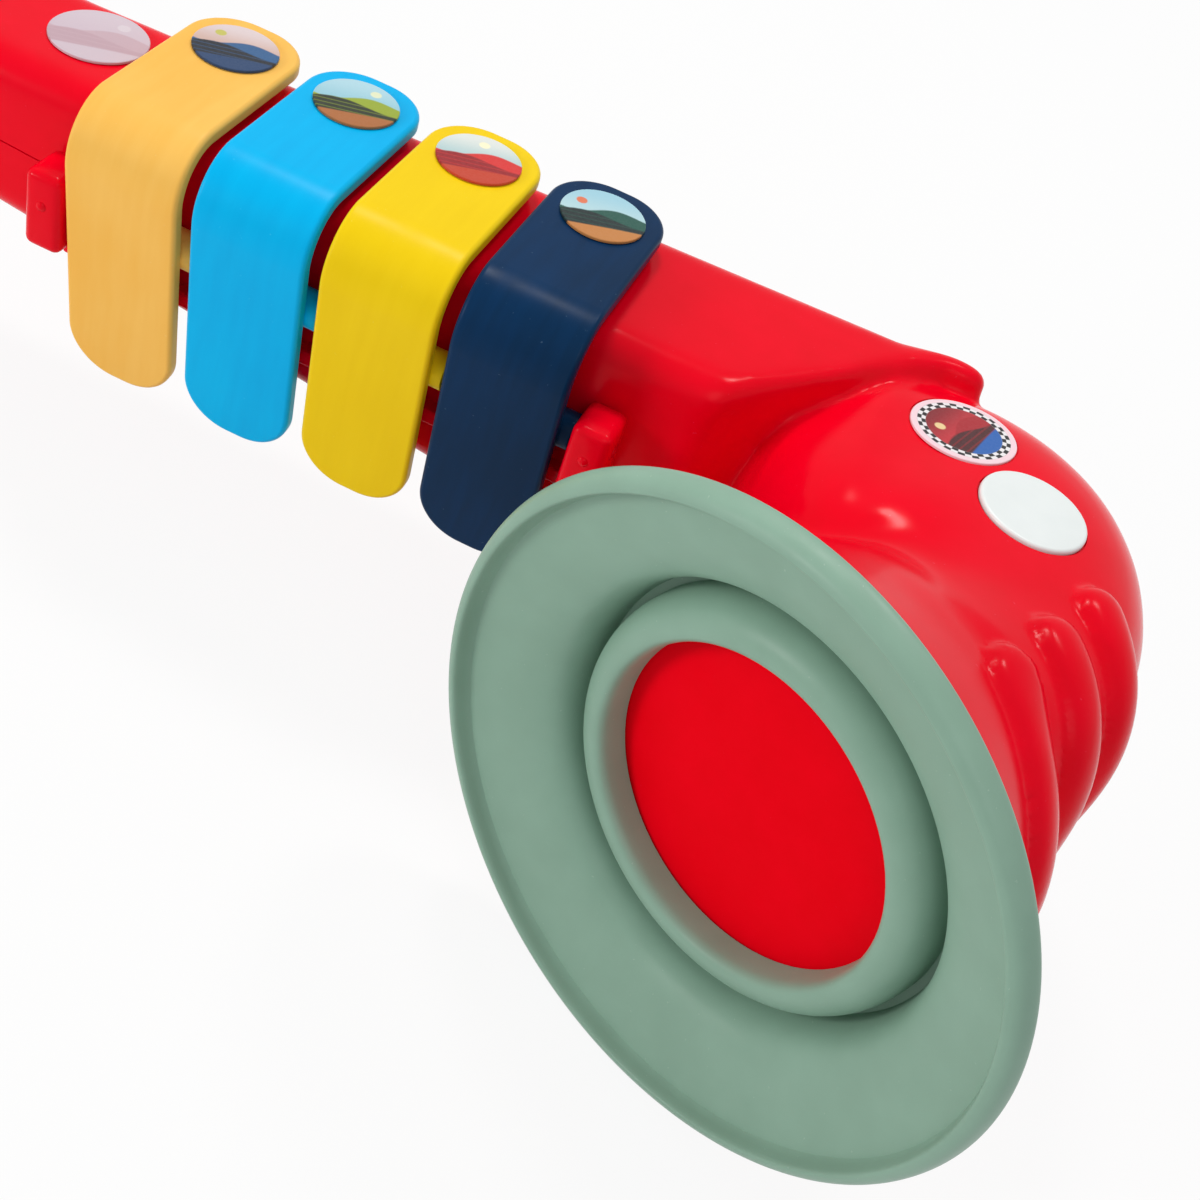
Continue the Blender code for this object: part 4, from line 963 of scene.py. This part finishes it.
def make_shells():
    skin = body_form()
    mouth = horn_centre(HORN_LENGTH)
    low, high = mouth - BELL_AXIS * (BELL_DEPTH - BELL_STANDOFF), mouth + BELL_AXIS * OVER
    socket = rod("socket", low, high, SPIGOT_RADIUS + GAP, 120)
    end = neck_start()
    over = Vector((OVER, 0, 0))
    neck_hole = rod("neck hole", end - over, end + over + Vector((WALL, 0, 0)), NECK_RADIUS + GAP)
    sides = ((1, "shell_upper", "body_upper_half"), (-1, "shell_lower", "body_lower_half"))
    for side, name, node in sides:
        far = BELL_RADIUS * side * 1.2
        bosses = [
            ("DIFFERENCE", rod("boss", (x * MM, y * MM, 0), (x * MM, y * MM, far), BOSS_RADIUS, 32))
            for x, y in SCREW_PLACES
        ]
        hollows = [tube_mesh(WALL, 30), bow_mesh(WALL, 30), horn_mesh(WALL, OVER, 20)]
        hollow = carve(one_skin(hollows, HOLLOW_VOXEL), *bosses)
        steps = [("DIFFERENCE", hollow), ("INTERSECT", half_block(side))]
        steps += [("DIFFERENCE", socket.copy()), ("DIFFERENCE", neck_hole.copy())]
        steps += upper_steps() if side > 0 else lower_steps(over, far)
        mesh = smooth(carve(skin.copy(), *steps), 32)
        piece(name, mesh, RED, replaces=(node,))


# The bell

def bell_outline():
    roll = BELL_ROLL
    outer, seat_z, floor = BELL_RADIUS, -BELL_STANDOFF, -BELL_DEPTH

    def curve(rows, count):
        return [tuple(row) for row in rows_between(rows, count)]

    points = curve([(outer - roll + a * roll, -d * roll) for a, d in ROLL_SHARES], 22)
    points += curve([(outer * a, seat_z * d) for a, d in BACK_SHARES], 10)
    points += [(SPIGOT_RADIUS, seat_z), (SPIGOT_RADIUS, floor), (DISC_EDGE + GAP, floor)]
    points += [(DISC_EDGE + GAP, -THROAT_DEPTH), (THROAT_RADIUS, -THROAT_DEPTH)]
    points += curve([(THROAT_RADIUS * a, floor * d) for a, d in COLLAR_SHARES], 34)
    points += curve([(outer * a, floor * d) for a, d in DISH_SHARES], 30)
    points += curve([(outer * a, floor * d) for a, d in STEP_SHARES], 8)[1:]
    return points


def make_bell():
    front = horn_centre(HORN_LENGTH + GAP + BELL_STANDOFF)
    place = Matrix.Translation(front) @ facing(BELL_AXIS)
    mesh = smooth(lathe_mesh("bell", bell_outline(), BELL_STEPS), 40)
    piece("bell_flare", mesh, GREY_GREEN, replaces=("bell",), local=place)
    thick = 2 * MM
    edge = 0.4 * MM
    outline = [(0, 0), (DISC_EDGE - edge, 0), (DISC_EDGE, edge), (DISC_EDGE, thick - edge)]
    outline += [(DISC_EDGE - edge, thick), (THROAT_RADIUS * 0.5, thick), (0, thick)]
    disc = smooth(lathe_mesh("disc", outline, 128, closed=False), 30)
    down = place @ Matrix.Translation((0, 0, -THROAT_DEPTH - GAP - thick))
    piece("throat_plate", disc, DISC_RED, replaces=("throat_disc",), local=down)


# The keys

def key_bend():
    """The flap's direction, the bend's angle, and how far before the corner the bend starts."""
    lean = Vector((0, math.sin(KEY_LEAN), -math.cos(KEY_LEAN)))
    turn = math.acos(Vector((0, -1, 0)).dot(lean))
    setback = KEY_BEND * math.tan(turn / 2)
    return lean, turn, setback


def key_blade():
    """A flat plate with round ends and edges, cut across, then bent along its path."""
    lean, turn, setback = key_bend()
    flat = KEY_BACK + KEY_FRONT - setback
    arc = KEY_BEND * turn
    flap = KEY_DROP / math.cos(KEY_LEAN) - setback
    length = flat + arc + flap
    half = KEY_WIDTH / 2

    def ring(inset, height):
        radius = KEY_END - inset
        points = []
        for s, x, quarter in ((length, half, 0), (0, half, 1), (0, -half, 2), (length, -half, 3)):
            centre_s = s - math.copysign(KEY_END, s - length / 2)
            centre_x = x - math.copysign(KEY_END, x)
            for k in range(KEY_CORNER_STEPS + 1):
                angle = math.radians(90) * (quarter + k / KEY_CORNER_STEPS)
                s_round, x_round = radius * math.cos(angle), radius * math.sin(angle)
                points.append((centre_s + s_round, centre_x + x_round, height))
        return points

    rings = []
    for k in range(KEY_EDGE_STEPS + 1):
        a = math.radians(90) * k / KEY_EDGE_STEPS
        rings.append(ring(KEY_EDGE_OUT * (1 - math.sin(a)), -KEY_EDGE_OUT * (1 - math.cos(a))))
    for k in range(KEY_EDGE_STEPS + 1):
        a = math.radians(90) * k / KEY_EDGE_STEPS
        height = -KEY_THICKNESS + KEY_EDGE_IN * (1 - math.sin(a))
        rings.append(ring(KEY_EDGE_IN * (1 - math.cos(a)), height))
    bm = bmesh.new()
    loft_into(bm, rings)
    lengths = [flat + arc * k / BEND_CUTS for k in range(BEND_CUTS + 1)]
    lengths += [flat * k / FLAT_CUTS for k in range(1, FLAT_CUTS)]
    lengths += [flat + arc + flap * k / FLAP_CUTS for k in range(1, FLAP_CUTS)]
    cuts = [((s, 0, 0), (1, 0, 0)) for s in lengths]
    cuts += [((0, x * half, 0), (0, 1, 0)) for x in LONG_CUTS]
    for place, normal in cuts:
        geom = bm.verts[:] + bm.edges[:] + bm.faces[:]
        bmesh.ops.bisect_plane(bm, geom=geom, plane_co=place, plane_no=normal, dist=0.01 * MM)
    corner = Vector((0, -KEY_FRONT, 0))
    bend_start = corner + Vector((0, setback, 0))
    centre = bend_start - Vector((0, 0, KEY_BEND))
    for vert in bm.verts:
        s, x, h = vert.co
        if s <= flat:
            place, normal = Vector((0, KEY_BACK - s, 0)), UP
        elif s <= flat + arc:
            angle = (s - flat) / KEY_BEND
            normal = Vector((0, -math.sin(angle), math.cos(angle)))
            place = centre + normal * KEY_BEND
        else:
            normal = Vector((0, -math.sin(turn), math.cos(turn)))
            place = corner + lean * (setback + s - flat - arc)
        vert.co = place + normal * h + X_AXIS * x
    return mesh_from("blade", bm)


def flap_inner_y(z):
    return -KEY_FRONT - z * math.tan(KEY_LEAN) + KEY_THICKNESS / math.cos(KEY_LEAN)


def key_steps():
    """What joins the blade: the barrel's two halves and their webs, then the bore."""
    room = SPRING_ROOM / 2
    start, end = -BARREL_LEAD, -BARREL_LEAD + KEY_PITCH - GAP
    front = flap_inner_y(HINGE_Z) - KEY_THICKNESS / 2
    half = BARREL_RADIUS * 0.8
    edge = KEY_WIDTH / 2 - KEY_THICKNESS
    steps = []
    for a, b in ((start, -room), (room, end)):
        ends = HINGE + X_AXIS * a, HINGE + X_AXIS * b
        steps.append(("UNION", rod("barrel", *ends, BARREL_RADIUS, 48, 0.3 * MM)))
    for a, b in ((-edge, -room - GAP), (room + GAP, edge)):
        corners = (a, front, HINGE_Z - half), (b, HINGE_Y - GAP, HINGE_Z + half)
        steps.append(("UNION", block("web", *corners, 0.4 * MM, 2)))
    ends = HINGE + X_AXIS * (start - OVER), HINGE + X_AXIS * (end + OVER)
    steps.append(("DIFFERENCE", rod("bore", *ends, ROD_RADIUS + GAP / 2, 32)))
    return steps


def make_pad(number, x, body):
    """The foam pad under a key's top, with a rounded foot and crown."""
    bottom = -KEY_TOP + TONE_RIM_HEIGHT + GAP
    thick = -KEY_THICKNESS - GAP - bottom
    crown = 0.25 * thick
    outline = [(0, 0), (PAD_RADIUS * 0.8, 0), (PAD_RADIUS * 0.95, crown * 0.5)]
    outline += [(PAD_RADIUS, thick * 0.5), (PAD_RADIUS * 0.97, thick - crown * 0.4)]
    outline += [(PAD_RADIUS * 0.9, thick), (0, thick)]
    mesh = smooth(lathe_mesh("pad", outline, 48, closed=False))
    place = KEY_SPACE @ Matrix.Translation((x, TONE_Y, bottom))
    name, node = f"foam_pad_{number + 1}", f"pad_{number + 1}"
    pad = piece(name, mesh, FOAM, body, (node,), place)


def make_keys():
    lever = carve(key_blade(), *key_steps())
    for i, colour in enumerate(COLOURS):
        x = i * KEY_PITCH
        body = f"key_{colour}_lever"
        mesh = smooth(lever.copy(), 32)
        mesh.transform(KEY_SPACE @ Matrix.Translation((x, 0, 0)))
        key = piece(f"lever_{colour}", mesh, KEY_PAINTS[colour], body, (f"key_{colour}",))
        weighted = key.modifiers.new("flat faces stay flat", "WEIGHTED_NORMAL")
        weighted.keep_sharp = True
        make_pad(i, x, body)
        name, place = f"print_{colour}", KEY_SPACE @ Matrix.Translation((x, 0, GAP))
        paint = label_paint(name, LABEL_RADIUS, LABEL_TURN, *PICTURES[colour])
        make_print(name, f"label_{colour}", LABEL_RADIUS, paint, body, place)
        make_spring(i, x)
    mesh = in_keys(rod("rod", *rod_span(), ROD_RADIUS, 48, 0.3 * MM))
    piece("pivot_rod", smooth(mesh), STEEL, replaces=("hinge_rod",))


def make_print(name, node, radius, paint, body, place):
    edge = 0.1 * MM
    thick = LABEL_THICKNESS
    outline = [(0, -GAP * 0.5), (radius, -GAP * 0.5), (radius, thick - edge)]
    outline += [(radius - edge, thick), (radius * 0.5, thick), (0, thick)]
    mesh = smooth(lathe_mesh(name, outline, 96, closed=False), 30)
    piece(name, mesh, paint, body, (node,), place, printed=True)


def make_spring(number, x):
    """A torsion spring: one leg on the wall, its curls round the rod, the other leg on the flap."""
    half = SPRING_ROOM / 2 - GAP - SPRING_WIRE
    low = HINGE_Z - SPRING_LEG
    wall_y = -TUBE_FRONT - GAP - SPRING_WIRE
    flap_y = flap_inner_y(low) + GAP + SPRING_WIRE
    points = [Vector((-half, wall_y, low)), Vector((-half, wall_y, (low + HINGE_Z) / 2))]
    for i in range(SPRING_STEPS + 1):
        share = i / SPRING_STEPS
        angle = -math.tau * SPRING_TURNS * share
        reach = SPRING_RADIUS * Vector((0, math.cos(angle), math.sin(angle)))
        points.append(HINGE + reach + X_AXIS * (half * (2 * share - 1)))
    points.append(Vector((half, flap_y, low)))
    curve = bpy.data.curves.new(f"torsion_spring_{number + 1}", "CURVE")
    curve.dimensions = "3D"
    curve.bevel_depth = SPRING_WIRE
    curve.bevel_resolution = 3
    curve.use_fill_caps = True
    spline = curve.splines.new("POLY")
    spline.points.add(len(points) - 1)
    for point, place in zip(spline.points, points):
        point.co = (*(KEY_SPACE @ (place + X_AXIS * x)), 1)
    mesh = baked(put("wire", curve))
    mesh.transform(ROOT)
    mesh.materials.clear()
    mesh.materials.append(STEEL)
    obj = put(f"torsion_spring_{number + 1}", smooth(mesh, 60))
    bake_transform(obj)
    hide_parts(f"spring_{number + 1}")


def make_prints_and_button():
    place = KEY_SPACE @ Matrix.Translation((*BODY_LABEL_PLACE, -KEY_TOP + GAP))
    radius = BODY_LABEL_RADIUS
    paint = label_paint("print_body", radius, LABEL_TURN, *PICTURES["body"], faded=0.45)
    make_print("print_body", "label_body", radius, paint, BODY, place)
    place, _ = plan_seat("label_bow")
    radius = BOW_LABEL_RADIUS
    paint = label_paint("print_bow", radius, math.pi + LABEL_TURN, *PICTURES["bow"], bow=True)
    make_print("print_bow", "label_bow", radius, paint, BODY, place)
    place, thick = plan_seat("white_button")
    radius = BUTTON_RADIUS
    edge, foot = 0.6 * MM, 0.2 * MM
    outline = [(0, 0), (radius - foot, 0), (radius, foot), (radius, thick - edge)]
    for k in range(1, 6):
        a = math.radians(90) * k / 6
        outline.append((radius - edge + edge * math.cos(a), thick - edge + edge * math.sin(a)))
    outline += [(radius - edge, thick), (radius * 0.5, thick), (0, thick)]
    mesh = smooth(lathe_mesh("button", outline, 128, closed=False), 30)
    piece("round_button", mesh, WHITE, replaces=("white_button",), local=place)


# The neck and the mouthpiece

def neck_route(extra_start=0.0, extra_end=0.0):
    """The neck's middle line, from its spigot in the tube to its end in the mouthpiece."""
    start = neck_start()
    points = [start + Vector((NECK_SPIGOT + extra_start, 0, 0))]
    centre = start - Vector((NECK_RUN, 0, 0)) + Vector((0, NECK_BEND_RADIUS, 0))
    for i in range(NECK_STEPS + 1):
        angle = NECK_BEND * i / NECK_STEPS
        points.append(centre + NECK_BEND_RADIUS * Vector((-math.sin(angle), -math.cos(angle), 0)))
    points.append(points[-1] + neck_direction() * (NECK_TAIL + MOUTH_SOCKET + extra_end))
    return points


def neck_direction():
    return Vector((-math.cos(NECK_BEND), math.sin(NECK_BEND), 0))


def pipe(points, radius, steps=64):
    sections = []
    for i, point in enumerate(points):
        along = (points[min(i + 1, len(points) - 1)] - points[max(i - 1, 0)]).normalized()
        across = along.cross(UP)
        angles = [math.tau * k / steps for k in range(steps)]
        ring = [across * math.cos(a) + UP * math.sin(a) for a in angles]
        sections.append([point + out * radius for out in ring])
    return loft("pipe", sections)


def make_neck():
    at = neck_start() - Vector((GAP, 0, 0))
    collar = rod("collar", at - Vector((NECK_COLLAR_LENGTH, 0, 0)), at, NECK_COLLAR, 80, 0.8 * MM)
    outside, bore = pipe(neck_route(), NECK_RADIUS), pipe(neck_route(OVER, OVER), NECK_BORE, 48)
    mesh = carve(outside, ("UNION", collar), ("DIFFERENCE", bore))
    piece("neck_pipe", smooth(mesh, 32), RED, replaces=("neck",))
    base = neck_route()[-1] - neck_direction() * MOUTH_SOCKET
    place = Matrix.Translation(base) @ facing(neck_direction())
    length, wide, tip = MOUTH_LENGTH, MOUTH_RADIUS, MOUTH_TIP_RADIUS
    round_tip = 0.8 * MM
    outline = [(0, length), (tip - round_tip, length), (tip, length - round_tip)]
    outline += [(wide * 0.93, length * 0.45), (wide * 0.93, length * 0.3)]
    for k in range(9):
        share = k / 8
        blend = share * share * (3 - 2 * share)
        outline.append((wide * (0.93 + 0.07 * blend), length * (0.3 - 0.04 * share)))
    outline += [(wide, length * 0.03), (wide * 0.985, length * 0.012)]
    outline += [(wide * 0.94, 0), (0, 0)]
    mesh = lathe_mesh("mouth", outline, 96, closed=False)
    slope = math.atan((wide - MOUTH_TIP / 2) / MOUTH_BEAK)
    wedge = block("wedge", (-2 * wide, 0, -2 * length), (2 * wide, 2 * length, length))
    wedge.transform(Matrix.Translation((0, MOUTH_TIP / 2, length)) @ Matrix.Rotation(slope, 4, "X"))
    socket = rod("socket", (0, 0, -OVER), (0, 0, MOUTH_SOCKET + GAP), NECK_RADIUS + GAP, 64)
    bore_end = length - 11 * MM
    bore = rod("bore", (0, 0, OVER), (0, 0, bore_end), MOUTH_BORE, 32)
    wide_half, high_half = MOUTH_SLOT[0] / 2, MOUTH_SLOT[1] / 2
    low, high = (-wide_half, -high_half, bore_end - OVER), (wide_half, high_half, length + OVER)
    slot = block("slot", low, high, 0.4 * MM)
    mesh = carve(mesh, ("DIFFERENCE", wedge))
    obj = put("mouth", mesh)
    bevel = obj.modifiers.new("soft edges", "BEVEL")
    bevel.width = 0.7 * MM
    bevel.segments = 4
    bevel.limit_method = "ANGLE"
    bevel.angle_limit = math.radians(50)
    mesh = carve(baked(obj), ("DIFFERENCE", socket), ("DIFFERENCE", bore), ("DIFFERENCE", slot))
    smooth(mesh, 32)
    piece("beak_mouthpiece", mesh, GREY_GREEN, BODY, ("mouthpiece",), place)


# What stays as CAD

def paint_nodes():
    for name, node in frame["nodes"].items():
        paint = None
        if name.startswith("screw_"):
            paint = STEEL
        elif name.startswith("reed_plate_"):
            paint = PLATE
        elif name.startswith("reed_"):
            paint = BRASS
        if paint:
            node.data.materials.clear()
            node.data.materials.append(paint)


# The floor, the lamps and the camera

FLOOR_GLOW = 0.9
WORLD_STRENGTH = 0.45
# Each lamp: name, place, aim, size, power and colour
LAMPS = (
    ("key_light", (-0.25, 0.35, 0.95), (0.1, -0.03, 0.05), 0.18, 3.0, (1.0, 0.98, 0.95)),
    ("second_light", (0.2, 0.42, 0.95), (0.1, -0.03, 0.05), 0.18, 2.2, (1.0, 0.98, 0.95)),
    ("front_light", (-0.68, -0.6, 0.34), (0.1, -0.03, 0.04), 0.3, 3.4, (1.0, 0.99, 0.97)),
    ("fill_light", (0.45, -0.75, 0.8), (0.1, -0.03, 0.04), 0.6, 1.3, (0.96, 0.98, 1.0)),
)
# The camera in the space of the keys
FOCAL_LENGTH = 50.1075
CAMERA_PLACE = Vector((122.1 * MM, -242.0 * MM, 150.7 * MM))
CAMERA_RIGHT = Vector((0.8986, 0.3544, 0.2586)).normalized()
CAMERA_BACK = Vector((0.0856, -0.7198, 0.6888))


def seen_rays(tree):
    """1 for the rays that show a surface, straight, mirrored or through another."""
    rays = tree.nodes.new("ShaderNodeLightPath")
    seen = rays.outputs["Is Camera Ray"]
    for kind in ("Is Glossy Ray", "Is Transmission Ray"):
        either = tree.nodes.new("ShaderNodeMath")
        either.operation = "MAXIMUM"
        tree.links.new(seen, either.inputs[0])
        tree.links.new(rays.outputs[kind], either.inputs[1])
        seen = either.outputs[0]
    return seen


def mix_shaders(tree, share, one, two, output):
    mix = tree.nodes.new("ShaderNodeMixShader")
    for socket, value in zip(mix.inputs, (share, one.outputs[0], two.outputs[0])):
        tree.links.new(value, socket)
    tree.links.new(mix.outputs[0], output.inputs[0])


def make_floor():
    bm = bmesh.new()
    bmesh.ops.create_grid(bm, x_segments=1, y_segments=1, size=4)
    floor = put("floor", mesh_from("floor", bm))
    material = bpy.data.materials.new("pale_floor")
    material.use_nodes = True
    tree = material.node_tree
    tree.nodes.clear()
    output = tree.nodes.new("ShaderNodeOutputMaterial")
    matt = tree.nodes.new("ShaderNodeBsdfDiffuse")
    matt.inputs["Color"].default_value = (0.86, 0.86, 0.86, 1)
    glow = tree.nodes.new("ShaderNodeEmission")
    glow.inputs["Color"].default_value = (1, 1, 1, 1)
    part = tree.nodes.new("ShaderNodeMath")
    part.operation = "MULTIPLY"
    part.inputs[1].default_value = FLOOR_GLOW
    tree.links.new(seen_rays(tree), part.inputs[0])
    mix_shaders(tree, part.outputs[0], matt, glow, output)
    floor.data.materials.append(material)


def make_light():
    world = bpy.data.worlds.new("studio")
    bpy.context.scene.world = world
    world.use_nodes = True
    tree = world.node_tree
    back = tree.nodes["Background"]
    back.inputs["Color"].default_value = (0.96, 0.98, 1.0, 1)
    back.inputs["Strength"].default_value = WORLD_STRENGTH
    white = tree.nodes.new("ShaderNodeBackground")
    white.inputs["Strength"].default_value = 1.0
    mix_shaders(tree, seen_rays(tree), back, white, tree.nodes["World Output"])
    for name, place, aim, size, power, colour in LAMPS:
        lamp = bpy.data.lights.new(name, "AREA")
        lamp.shape = "DISK"
        lamp.size = size
        lamp.energy = power
        lamp.color = colour
        place, aim = Vector(place), Vector(aim)
        put(name, lamp, Matrix.Translation(place) @ facing(place - aim))


def make_camera():
    """The photograph's view, found from the keys' pitch, slope and labels."""
    lens = bpy.data.cameras.new("camera")
    lens.sensor_width = 36
    lens.lens = FOCAL_LENGTH
    lens.clip_start, lens.clip_end = 0.01, 20
    back = (CAMERA_BACK - CAMERA_RIGHT * CAMERA_BACK.dot(CAMERA_RIGHT)).normalized()
    turn = Matrix((CAMERA_RIGHT, back.cross(CAMERA_RIGHT), back)).transposed().to_4x4()
    place = ROOT @ KEY_SPACE @ Matrix.Translation(CAMERA_PLACE) @ turn
    bpy.context.scene.camera = put("camera", lens, place)


make_camera()
make_floor()
make_light()
make_shells()
make_bell()
make_keys()
make_prints_and_button()
make_neck()
paint_nodes()
bpy.context.scene.view_settings.view_transform = "Standard"
